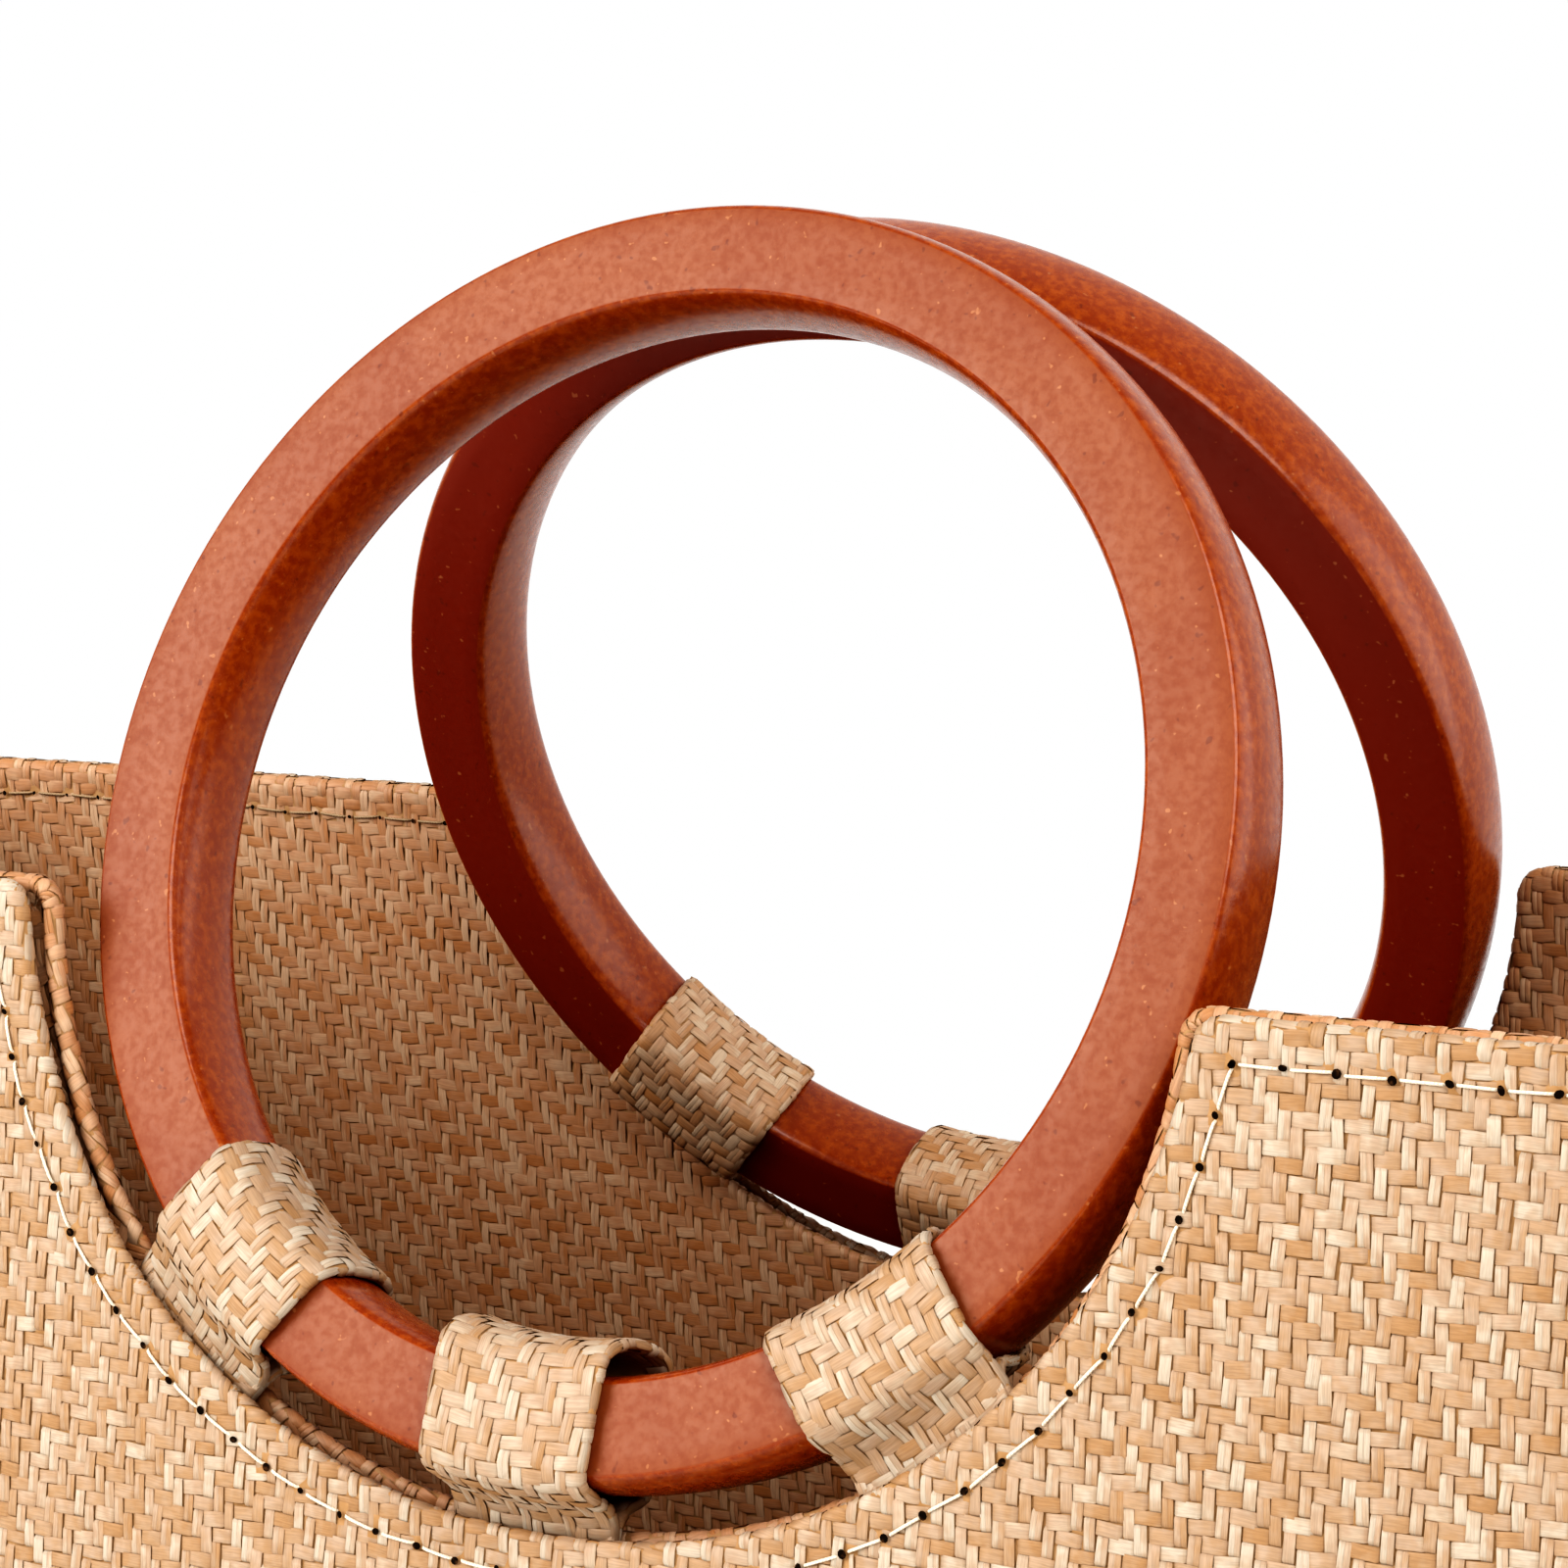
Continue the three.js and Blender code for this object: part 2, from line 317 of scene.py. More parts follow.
def mixColor(factor, a, b, blend="MIX"):
    made = addNode("ShaderNodeMix", {0: factor}, data_type="RGBA", blend_type=blend)
    for number, color in ((6, a), (7, b)):
        plug((*color, 1) if isinstance(color, tuple) else color, made.inputs[number])
    return made.outputs[2]


def ramp(value, stops):
    made = addNode("ShaderNodeValToRGB", {0: value})
    band = made.color_ramp
    while len(band.elements) < len(stops):
        band.elements.new(0.5)
    for element, (place, color) in zip(band.elements, stops):
        element.position = place
        element.color = (*color, 1)
    return made.outputs[0]


def bumped(strength, distance, height):
    values = {"Strength": strength, "Distance": distance * mm, "Height": height}
    return addNode("ShaderNodeBump", values).outputs[0]


def makeFibreGroup():
    # lengthwise fibres of a straw strip or thread, and the blotches along it
    tree, given = newTree("Shader", "lengthwiseFibres", {
        "Vector": ("Place",), "Float": ("Seed", "Across", "Along")}, {"Float": ("Streaks", "Blotches")})
    x, y, z = separate(given["Place"])
    at = combine(product(x, given["Along"]), product(y, given["Across"]), given["Seed"])
    slow = combine(x, product(y, 0.6), maths("ADD", given["Seed"], 7.0))
    addNode("NodeGroupOutput", {
        "Streaks": noise(at, 1.0, 3.0, 0.6)[0], "Blotches": noise(slow, 1.6, 1.0)[0]})
    return tree


strandFinish = {
    "tones": (
        (0.0, (0.335, 0.192, 0.092)), (0.22, (0.355, 0.22, 0.122)), (0.42, (0.37, 0.243, 0.15)),
        (0.60, (0.385, 0.268, 0.182)), (0.80, (0.412, 0.309, 0.218)), (1.0, (0.445, 0.366, 0.28)),
    ),
    # painted light: the inner layers' strands are tinted more golden, standing in for the warm light that
    # bounces round inside the bag, and the back tabs' strands lighter and warmer
    "layers": {"outer": (1.0, 1.0, 1.0), "inner": (1.14, 0.93, 0.79), "backTab": (1.16, 1.06, 0.97)},
    # edge, edgeShadeShare and endShadeShare paint shade along the strands' sides and ends
    "edge": (0.28, 0.16, 0.08), "edgeShadeShare": 0.22, "endShadeShare": 0.25, "splitTone": 0.16, "blotchTone": 0.14,
    "across": 9.0, "along": 1.1, "fibreShade": (0.87, 1.06), "fibreDepth": 0.4,
    "roughness": (0.67, 0.49), "shine": 0.4, "crown": 0.07, "bump": 0.8,  # crown in mm
}


def makeStrandFinish(fibres, f, layer):
    material = newMaterial(f"strawStrand_{layer}")
    place = attribute("strandPlace", "Vector")
    split = attribute("strandSplit")
    x, y, z = separate(place)
    streaks, blotches = addNode("ShaderNodeGroup", {
        "Place": place, "Seed": attribute("strandSeed"), "Across": f["across"], "Along": f["along"]},
        node_tree=fibres).outputs

    # a split strip is two narrow strands of different tones side by side
    reach = product(maths("ABSOLUTE", y), 2.0)
    halfReach = maths("ABSOLUTE", maths("SUBTRACT", product(reach, 2.0), 1.0))
    reach = mixValue(split, reach, halfReach)
    apart = product(maths("SIGN", y), split, f["splitTone"])
    blotch = smooth(blotches, 0.3, 0.7, -f["blotchTone"], f["blotchTone"])
    tone = maths("ADD", maths("ADD", attribute("strandTint"), blotch), apart)
    color = ramp(tone, [(stop, np.multiply(shade, f["layers"][layer])) for stop, shade in f["tones"]])
    shade = smooth(streaks, 0.32, 0.68, *f["fibreShade"])
    color = mixColor(1.0, color, combine(shade, shade, shade), "MULTIPLY")
    # painted shade: each strand darkens towards the edge brown along its sides and at its ends, where it
    # dips under its neighbours
    edge = smooth(reach, 0.78, 1.02, 0.0, f["edgeShadeShare"])
    end = smooth(maths("ABSOLUTE", x), 0.41, 0.5, 0.0, f["endShadeShare"])
    color = mixColor(maths("MAXIMUM", edge, end), color, f["edge"])
    crown = maths("SUBTRACT", 1.0, maths("POWER", reach, 3.0))
    height = maths("ADD", crown, product(streaks, f["fibreDepth"]))
    return finished(material, {
        "Base Color": color, "Roughness": smooth(streaks, 0.3, 0.7, *f["roughness"]),
        "Normal": bumped(f["bump"], f["crown"], height), "Specular IOR Level": f["shine"]})


clothFinish = {
    "dark": (0.30, 0.165, 0.07), "light": (0.42, 0.25, 0.12), "scale": 900, "roughness": (0.95, 0.7),
}


def makeClothFinish(f):
    # what shows in the gaps between the strands: its grain is the straw's own, its darker, browner tone is
    # painted shade of the gaps
    material = newMaterial("strawUnderlay")
    grain = noise(objectPlace(), f["scale"], 2.0)[0]
    return finished(material, {
        "Base Color": mixColor(grain, f["dark"], f["light"]),
        "Roughness": smooth(grain, 0.3, 0.7, *f["roughness"])})


ringFinish = {
    "deep": (0.165, 0.03, 0.008), "body": (0.215, 0.056, 0.016), "warm": (0.24, 0.071, 0.023),
    "inside": (0.185, 0.021, 0.005),  # faces turned to the other ring: a darker, redder stain, painted shade, against the outward faces' paler stain that partly holds painted sheen
    "side": (0.212, 0.036, 0.0035), "sideWarm": (0.295, 0.068, 0.007),
    "paleFleck": (0.45, 0.21, 0.09), "darkFleck": (0.09, 0.014, 0.005),
    "cloudScale": 55.0, "gritScale": 900.0, "mottleScale": 820.0, "paleScale": 1000.0, "darkScale": 800.0,
    "faceRoughness": 0.5, "sideRoughness": 0.24, "shine": 0.39,
    "bump": 0.18, "bumpDepth": 0.12,  # depth in mm
}


def makeRingFinish(f):
    material = newMaterial("stainedRing")
    at = objectPlace()
    face = attribute("flatFace")
    cloud = noise(at, f["cloudScale"], 4.0, 0.6)[0]
    grit = noise(at, f["gritScale"], 2.0, 0.6)[0]
    mottle = noise(at, f["mottleScale"], 3.0, 0.65)[0]
    pale = noise(at, f["paleScale"], 1.0)[0]
    dark = noise(plus(at, (3.1, 1.7, 0.4)), f["darkScale"], 1.0)[0]
    stain = mixColor(smooth(cloud, 0.3, 0.7), f["body"], f["warm"])
    stain = mixColor(smooth(grit, 0.35, 0.75, 0.0, 0.35), stain, f["deep"])
    # painted light: the faces turned to the other ring take the darker inside stain, while the other flat
    # faces keep the paler one, partly painted sheen
    stain = mixColor(attribute("innerFace"), stain, f["inside"])
    sides = mixColor(smooth(mottle, 0.37, 0.7), f["side"], f["sideWarm"])
    color = mixColor(face, sides, stain)
    color = mixColor(smooth(pale, 0.71, 0.78, 0.0, 0.4), color, f["paleFleck"])
    color = mixColor(smooth(dark, 0.70, 0.77, 0.0, 0.45), color, f["darkFleck"])
    gloss = mixValue(face, f["sideRoughness"], f["faceRoughness"])
    return finished(material, {
        "Base Color": color, "Roughness": maths("ADD", gloss, smooth(grit, 0.3, 0.7, -0.05, 0.05)),
        "Normal": bumped(f["bump"], f["bumpDepth"], grit), "Specular IOR Level": f["shine"]})


threadFinish = {
    "cream": {"light": (0.78, 0.71, 0.59), "dark": (0.52, 0.42, 0.30)},
    "straw": {"light": (0.40, 0.29, 0.18), "dark": (0.26, 0.17, 0.09)},
}
threadPly = {
    "turns": 75.0, "around": 6.2832, "tone": 0.12, "across": 4.0, "along": 30.0,
    "roughness": (0.75, 0.5), "bump": 0.3, "depth": 0.06,  # depth in mm
}


def makeThreadFinish(fibres, name):
    f, p = threadFinish[name], threadPly
    material = newMaterial(name + "Thread")
    place = attribute("threadPlace", "Vector")
    x, y, z = separate(place)
    ply = maths("SINE", maths("ADD", product(x, p["turns"]), product(y, p["around"])))
    streaks, blotches = addNode("ShaderNodeGroup", {
        "Place": place, "Seed": z, "Across": p["across"], "Along": p["along"]}, node_tree=fibres).outputs
    twist = maths("ADD", product(ply, p["tone"]), streaks)
    return finished(material, {
        "Base Color": mixColor(smooth(twist, 0.1, 0.8), f["dark"], f["light"]),
        "Roughness": smooth(twist, 0.0, 1.0, *p["roughness"]), "Normal": bumped(p["bump"], p["depth"], ply)})


holeFinish = {
    "rim": (0.08, 0.04, 0.018), "pit": (0.012, 0.007, 0.004), "scale": 1500,
    "roughness": (1.0, 0.85), "shine": 0.1,
}


# painted shade: each needle hole is a flat, near-black disc laid on the straw, standing for the shade down
# the hole
def makeHoleFinish(f):
    material = newMaterial("needleHole")
    grain = noise(objectPlace(), f["scale"], 2.0)[0]
    return finished(material, {
        "Base Color": mixColor(smooth(grain, 0.5, 0.8), f["pit"], f["rim"]),
        "Roughness": smooth(grain, 0.2, 0.8, *f["roughness"]), "Specular IOR Level": f["shine"]})


fibreGroup = makeFibreGroup()
strandMaterials = {name: makeStrandFinish(fibreGroup, strandFinish, name) for name in strandFinish["layers"]}
clothMaterial = makeClothFinish(clothFinish)
ringMaterial = makeRingFinish(ringFinish)
threadMaterials = {name: makeThreadFinish(fibreGroup, name) for name in threadFinish}
holeMaterial = makeHoleFinish(holeFinish)
print("finishes made")


# shape of the bag, in mm

bagShape = {
    "heights": (0, 45, 100, 150, 200, 281),
    "halfWidths": (172, 177, 182, 186.5, 190, 195),
    "halfDepths": (66, 71.5, 72.6, 68.1, 63.1, 55),
    "edgePull": 9,  # side edges drawn in by the gussets
    "strawThickness": 1.6, "layerGap": 2.2, "fitGap": 0.3, "baseThickness": 2.4,
    "gussetFold": 22, "gussetFoldStart": 60,
    "notchHalfWidth": 77, "notchExponent": 2.12, "cornerRadius": 4, "outerCorner": 3,
    "ringHeight": 290, "ringOffset": 34,
}
walls = {
    "front": {"direction": -1, "topEdge": 279.4, "notchDepth": 75,
              "ringLean": -20, "ringTurn": 0, "leftLift": 2.4},
    "back": {"direction": 1, "topEdge": 281, "notchDepth": 73.5,
             "ringLean": 22.7, "ringTurn": 1.2, "leftLift": 0},
}
footHeight = bagShape["baseThickness"] + bagShape["fitGap"]


def bodySize(column, z):
    heights = np.array(bagShape["heights"], float)
    sizes = np.array(bagShape[column], float)
    z = np.asarray(z, float)
    row = np.clip(np.searchsorted(heights, z) - 1, 0, len(heights) - 2)
    before = np.maximum(np.arange(len(heights)) - 1, 0)
    after = np.minimum(np.arange(len(heights)) + 1, len(heights) - 1)
    slopes = (sizes[after] - sizes[before]) / (heights[after] - heights[before])
    span = heights[row + 1] - heights[row]
    t = (z - heights[row]) / span
    blend = ease(t)
    bend = slopes[row] * span * t * (1 - t) ** 2 - slopes[row + 1] * span * t * t * (1 - t)
    return sizes[row] * (1 - blend) + sizes[row + 1] * blend + bend


def wallDistance(x, z, depth):
    across = x / bodySize("halfWidths", z)
    return bodySize("halfDepths", z) - bagShape["edgePull"] * across ** 4 - depth


def notchReach(depth, wall):
    share = np.minimum(depth / wall["notchDepth"], 1)
    power = bagShape["notchExponent"]
    return bagShape["notchHalfWidth"] * (1 - share ** power) ** (1 / power)


# straw sheets: a cloth outline laid on a surface, with its edge rolled over

strawSheet = {
    "rise": 0.28,  # mm that the strands stand over the cloth under them
    "sink": 0.28,  # the cloth lies this far below the straw's outside
    "edgeRise": 0.6,  # share of the rise that the rolled edge leaves to the strands
    "edgeClear": 0.55,  # share of the spacing that the cloth's inner points keep from its outline
    "rollSteps": 8,
}


def insideOutline(points, outline):
    inside = np.zeros(len(points), bool)
    for (x0, y0), (x1, y1) in zip(outline, np.roll(outline, -1, 0)):
        if y0 == y1:
            continue
        crosses = (y0 > points[:, 1]) != (y1 > points[:, 1])
        inside ^= crosses & (points[:, 0] < x0 + (points[:, 1] - y0) * (x1 - x0) / (y1 - y0))
    return inside


def clothFill(outline, spacing):
    # triangles that fill a counterclockwise outline, whose own points come first
    spans = [np.arange(a + spacing / 2, b, spacing) for a, b in zip(outline.min(0), outline.max(0))]
    lattice = np.stack(np.meshgrid(*spans), -1).reshape(-1, 2)
    lattice = lattice[insideOutline(lattice, outline)]
    gap = np.linalg.norm(lattice[:, None] - outline[None], axis=2).min(1)
    points = np.concatenate([outline, lattice[gap > spacing * strawSheet["edgeClear"]]])
    loop = list(range(len(outline)))
    edges = list(zip(loop, loop[1:] + loop[:1]))
    found = delaunay_2d_cdt([Vector(p) for p in points], edges, [loop], 1, 1e-6)
    source = [ids[0] for ids in found[3]]
    triangles = []
    for corners in found[2]:
        a, b, c = (source[k] for k in corners)
        turn = np.cross(points[b] - points[a], points[c] - points[a])
        triangles.append((a, b, c) if turn > 0 else (a, c, b))
    return points, triangles


def surfaceFrame(surface, u, v, reach=0.2):
    alongU = (surface(u + reach, v) - surface(u - reach, v)) / (2 * reach)
    alongV = (surface(u, v + reach) - surface(u, v - reach)) / (2 * reach)
    return surface(u, v), alongU, alongV, unit(np.cross(alongU, alongV))


def outwardWay(outline):
    ahead = np.roll(outline, -1, 0) - np.roll(outline, 1, 0)
    return unit(np.stack([ahead[:, 1], -ahead[:, 0]], 1))


def makeSheet(name, rim, surface, thickness, mapPlace, backPlace, fill=7.0, hem=0.0, apron=0.0):
    # the rim is where the rolled edge ends, a hem makes it thicker towards the back;
    # mapPlace and backPlace set the two sides apart on the cloth map;
    # an apron is cloth over the back's edge that only carries strands round the roll
    rim = np.asarray(rim, float)
    radius = np.zeros((len(rim), 1)) + (thickness + np.reshape(hem, (-1, 1))) / 2
    outline = rim - outwardWay(rim) * (radius + strawSheet["rise"] * strawSheet["edgeRise"])
    points, triangles = clothFill(outline, fill)
    count, edge, steps = len(points), len(outline), strawSheet["rollSteps"]
    place, alongU, alongV, normal = surfaceFrame(surface, points[:, 0], points[:, 1])
    away = outwardWay(outline)
    out = unit(alongU[:edge] * away[:, :1] + alongV[:edge] * away[:, 1:])

    # the roll turns half round, and further round a hem, until it meets the back
    turn = 2 * math.pi - np.arccos(np.clip(1 - thickness / radius, -1, 1))
    vertices, maps = [place.copy()], [points + mapPlace]
    for step in range(1, steps):
        angle = turn * step / steps
        vertices.append(place[:edge] + radius * (out * np.sin(angle) - normal[:edge] * (1 - np.cos(angle))))
        maps.append(outline + away * radius * angle + mapPlace)
    place[:edge] += out * radius * np.sin(turn)
    vertices.append(place - normal * thickness)
    maps.append(np.stack([backPlace[0] - points[:, 0], points[:, 1] + backPlace[1]], 1))
    rollEnd = outline + away * radius * turn + mapPlace
    vertices, maps = np.concatenate(vertices), np.concatenate(maps)

    faces = [list(t) for t in triangles]
    corners = [maps[list(t)] for t in triangles]
    back = count + edge * (steps - 1)
    starts = [0] + [count + edge * step for step in range(steps - 1)] + [back]
    around = [(k, (k + 1) % edge) for k in range(edge)]
    for level in range(steps):
        low, high = starts[level], starts[level + 1]
        top = rollEnd if level == steps - 1 else maps[high:high + edge]
        for k, n in around:
            faces.append([low + n, low + k, high + k, high + n])
            corners.append([maps[low + n], maps[low + k], top[k], top[n]])
    for a, b, c in triangles:
        faces.append([back + a, back + c, back + b])
        corners.append(maps[[back + a, back + c, back + b]])
    kept = len(faces)
    if apron:
        last = len(vertices)
        vertices = np.concatenate([vertices, vertices[back:back + edge] - out * apron])
        hang = rollEnd + away * apron
        for k, n in around:
            faces.append([back + n, back + k, last + k, last + n])
            corners.append([rollEnd[n], rollEnd[k], hang[k], hang[n]])

    sheet = addMesh(name, vertices, [], faces)
    cloth = sheet.data.uv_layers.new(name="cloth")
    cloth.uv.foreach_set("vector", (np.concatenate(corners) * mm).astype(np.float32).ravel())
    helper = sheet.data.attributes.new("apron", "BOOLEAN", "FACE")
    helper.data.foreach_set("value", np.arange(len(faces)) >= kept)
    sheet.data.materials.append(clothMaterial)

    crease = outline + away * radius * turn / 2 + mapPlace
    flat = np.concatenate([maps[:edge], crease, maps[back:back + edge]])
    loops = [(first + k, first + n) for first in (0, edge, 2 * edge) for k, n in around]
    return sheet, addMesh(name + "_rim", np.c_[flat, np.zeros(3 * edge)], loops, [])


# strands and stitches are made flat, in cloth coordinates, and then laid on the sheet

def layOnSheet(flat, sheet, u, v, height):
    cloth = keptValue("cloth", "FLOAT_VECTOR")
    at = combine(u, v)
    found = []
    for value in (positionOf(), geo("InputNormal")):
        found.append(addNode("GeometryNodeSampleUVSurface", {
            "Mesh": sheet, "Value": value, "UV Map": cloth, "Sample UV": at},
            data_type="FLOAT_VECTOR").outputs)
    lifted = plus(found[0]["Value"], times(found[1]["Value"], height))
    missed = addNode("FunctionNodeBooleanMath", {0: found[0]["Is Valid"]}, operation="NOT").outputs[0]
    laid = movedTo(keepValue(flat, "offCloth", missed, "BOOLEAN"), lifted)
    laid = geo("DeleteGeometry", {
        "Geometry": laid, "Selection": keptValue("offCloth", "BOOLEAN")}, domain="POINT")
    return geo("SetShadeSmooth", {"Geometry": laid})


weave = {
    "Pitch U": 1.46, "Pitch V": 1.62,  # mm between warp strands and between weft strands
    "Float Length": 2.24, "Weft Width": 1.06, "Warp Width": 0.99,  # pitches
    "Split Share": 0.6,  # warp strands that lie as two narrow ones
    "Hole Reach": 1.2,  # mm round a needle hole where strands are pressed in
    "Wander": 1.0,  # mm, between the furthest ways off the straight
    "Strip Kind": 2,
    "Fine Reach": 2.7,  # mm from a fold where strips bend
    "Woven To": 400,  # mm on the cloth map
    "weftTones": (0.18, 0.78), "warpTones": (0.4, 0.95), "floatTone": 0.28, "wanderScale": 95.0,
    # pitches that a strand lies to one side and a float ahead, and radians that a float is turned
    "sideways": 0.07, "ahead": 0.09, "turned": 0.09,
    # shares of the usual size, by chance
    "strandWidths": (0.9, 1.05), "floatWidths": (0.9, 1.08), "floatLengths": (0.94, 1.08),
    "rises": (0.75, 1.1),
    "pressedShare": 0.45,  # of the reach round a needle hole, pressed in fully
}
# points along and across, and how late and how far the ends fall; the base has the last kind, flat
stripKinds = ((6, 3, 4.0, 1.1), (4, 2, 8.0, 1.1), (3, 2, 2.0, 0.75), (2, 2, 0.0, 1.1))
fineStrip = 3.0  # number of the first kind, because they are counted from the last
stripForm = {"flatFall": 0.3, "sideFall": 0.5, "endNarrow": 0.16, "plateau": 2.25}


def makeStrip(steps, across, late, fall):
    # a strand between two dives is a strip that falls at its ends; four steps give it a plateau
    form = stripForm
    strip = geo("MeshGrid", {"Size X": 1.0, "Size Y": 1.0, "Vertices X": steps, "Vertices Y": across})
    x, y, z = separate(positionOf())
    along = x
    if steps == 4:
        along = addNode("ShaderNodeClamp", {0: product(x, form["plateau"]), 1: -0.5, 2: 0.5}).outputs[0]
    endFall = form["flatFall"]
    if steps > 2:
        endFall = maths("POWER", product(maths("ABSOLUTE", along), 2.0), late)
    sideFall = product(maths("ABSOLUTE", y), form["sideFall"] if across > 2 else 0.0)
    height = maths("SUBTRACT", 1.0, maths("ADD", product(endFall, fall), sideFall))
    narrow = maths("SUBTRACT", 1.0, product(endFall, form["endNarrow"]))
    strip = movedTo(strip, combine(along, product(y, narrow), height))
    strip = keepValue(strip, "strandPlace", combine(along, y), "FLOAT_VECTOR")
    return geo("GeometryToInstance", {0: strip})


def makeWeaveTree():
    # 2/2 twill: every strand passes over two and under two, one step further in each row
    tree, given = newTree("Geometry", "strawWeave", {
        "Geometry": ("Sheet",), "Int": ("Columns", "Rows", "Seed"), "Object": ("Needle Holes", "Folds"),
        "Float": ("Pitch U", "Pitch V", "Middle U", "Middle V", "Float Length", "Weft Width", "Warp Width",
                  "Split Share", "Rise", "Hole Reach", "Wander", "Strip Kind", "Fine Reach", "Woven To"),
        "Material": ("Strand",)}, {"Geometry": ("Woven",)})
    w, pitchU, pitchV, seed = weave, given["Pitch U"], given["Pitch V"], given["Seed"]
    strips = joined(*(makeStrip(*kind) for kind in stripKinds))

    grid = geo("MeshGrid", {
        "Size X": product(maths("SUBTRACT", given["Columns"], 1.0), pitchU),
        "Size Y": product(maths("SUBTRACT", given["Rows"], 1.0), pitchV),
        "Vertices X": given["Columns"], "Vertices Y": given["Rows"]})
    at = positionOf()
    wander = noise(at, w["wanderScale"], 1.0)["Color"]
    x, y, z = separate(times(plus(wander, (-0.5, -0.5, -0.5)), given["Wander"]))
    grid = movedBy(grid, combine(x, y))
    each = geo("InputIndex")
    column = maths("FLOOR", maths("DIVIDE", maths("ADD", each, 0.5), given["Rows"]))
    row = maths("SUBTRACT", each, product(column, given["Rows"]))
    phase = maths("FLOORED_MODULO", maths("ADD", column, row), 4.0)
    split = randomValue(0.0, 1.0, column, maths("ADD", seed, 90))
    split = maths("LESS_THAN", split, given["Split Share"])

    onMap = plus(at, combine(given["Middle U"], given["Middle V"]))
    nearFold = addNode("GeometryNodeProximity", {
        "Geometry": meshOf(given["Folds"]), "Sample Position": onMap},
        target_element="EDGES").outputs["Distance"]
    fine = maths("LESS_THAN", nearFold, given["Fine Reach"])
    kind = mixValue(fine, given["Strip Kind"], fineStrip)
    x, y, z = separate(onMap)
    woven = maths("LESS_THAN", x, given["Woven To"])

    def layStrands(order, start, strand, width, lengthPitch, widthPitch, halves, tones):
        seeds = iter(range(order * 20, order * 20 + 20))

        def varied(low, high, ident):
            return randomValue(low, high, ident, maths("ADD", seed, next(seeds)))

        warp = lengthPitch == pitchV
        select = product(maths("COMPARE", phase, start, 0.1), woven)
        side = product(varied(-w["sideways"], w["sideways"], strand), widthPitch)
        ahead = product(maths("ADD", varied(-w["ahead"], w["ahead"], each), 0.5), lengthPitch)
        points = movedBy(grid, combine(side, ahead) if warp else combine(ahead, side))
        tint = maths("ADD", varied(*tones, strand), varied(-w["floatTone"], w["floatTone"], each))
        marks = (("strandTint", tint), ("strandSeed", varied(0.0, 50.0, each)), ("strandSplit", halves))
        for label, value in marks:
            points = keepValue(points, label, value, "FLOAT")
        wide = product(varied(*w["strandWidths"], strand), varied(*w["floatWidths"], each), width)
        reach = product(given["Float Length"], varied(*w["floatLengths"], each))
        high = product(given["Rise"], varied(*w["rises"], each))
        scale = combine(product(reach, lengthPitch), product(wide, widthPitch), high)
        turned = varied(-w["turned"], w["turned"], each)
        angle = maths("ADD", turned, math.pi / 2 if warp else 0.0)
        return geo("InstanceOnPoints", {
            "Points": points, "Selection": select, "Instance": strips, "Pick Instance": True,
            "Instance Index": kind, "Rotation": combine(0.0, 0.0, angle), "Scale": scale})

    weft = layStrands(1, 0.0, row, given["Weft Width"], pitchU, pitchV, 0.0, w["weftTones"])
    warp = layStrands(2, 2.0, column, given["Warp Width"], pitchV, pitchU, split, w["warpTones"])
    flat = geo("RealizeInstances", {0: joined(weft, warp)})
    x, y, z = separate(positionOf())
    u, v = maths("ADD", x, given["Middle U"]), maths("ADD", y, given["Middle V"])

    # strands are pressed in round the needle holes
    near = addNode("GeometryNodeProximity", {
        "Geometry": meshOf(given["Needle Holes"]), "Sample Position": combine(u, v)},
        target_element="POINTS").outputs
    reach = given["Hole Reach"]
    press = smooth(near["Distance"], product(reach, w["pressedShare"]), reach, 1.0, 0.0)
    press = product(press, near["Is Valid"])
    deep = product(maths("ADD", z, given["Rise"]), press)
    laid = layOnSheet(flat, given["Sheet"], u, v, maths("SUBTRACT", z, deep))
    cloth = geo("DeleteGeometry", {
        "Geometry": given["Sheet"], "Selection": keptValue("apron", "BOOLEAN")}, domain="FACE")
    addNode("NodeGroupOutput", {0: joined(painted(laid, given["Strand"]), cloth)})
    return tree


def weaveOver(sheet, folds, low, high, seed, holes=None, straw="outer", **changes):
    # low and high are the corners of the woven part of the cloth map, in mm
    values = {**weave, **changes}
    values["Columns"] = int((high[0] - low[0]) / weave["Pitch U"]) + 3
    values["Rows"] = int((high[1] - low[1]) / weave["Pitch V"]) + 3
    values["Middle U"] = (low[0] + high[0]) / 2
    values["Middle V"] = (low[1] + high[1]) / 2
    values["Rise"] = strawSheet["rise"]
    for name in ("Pitch U", "Pitch V", "Hole Reach", "Wander", "Fine Reach", "Woven To",
                 "Middle U", "Middle V", "Rise"):
        values[name] *= mm
    values.update({"Folds": folds, "Seed": seed, "Strand": strandMaterials[straw]})
    if holes is not None:
        values["Needle Holes"] = holes
    grow(sheet, weaveTree, values)
    for guide in (folds, holes):
        if guide is not None:
            bpy.data.objects.remove(guide)


stitch = {
    "inset": 5.0, "length": 5.6,  # mm from the rim, and between needle holes
    "Thread Radius": 0.2, "Hole Radius": 0.5, "Thread Rise": 0.38, "Hole Rise": 0.41,  # mm
    "wobble": 0.25,  # mm
    "steps": 8, "threadSides": 5, "holeCorners": 9, "threadShare": 0.93, "dipPower": 6.0, "dipDepth": 2.4,
    "lean": 0.06, "holeSizes": (0.8, 1.15), "holeShapes": (0.65, 0.95), "holeTurns": (0.0, 6.28),
}


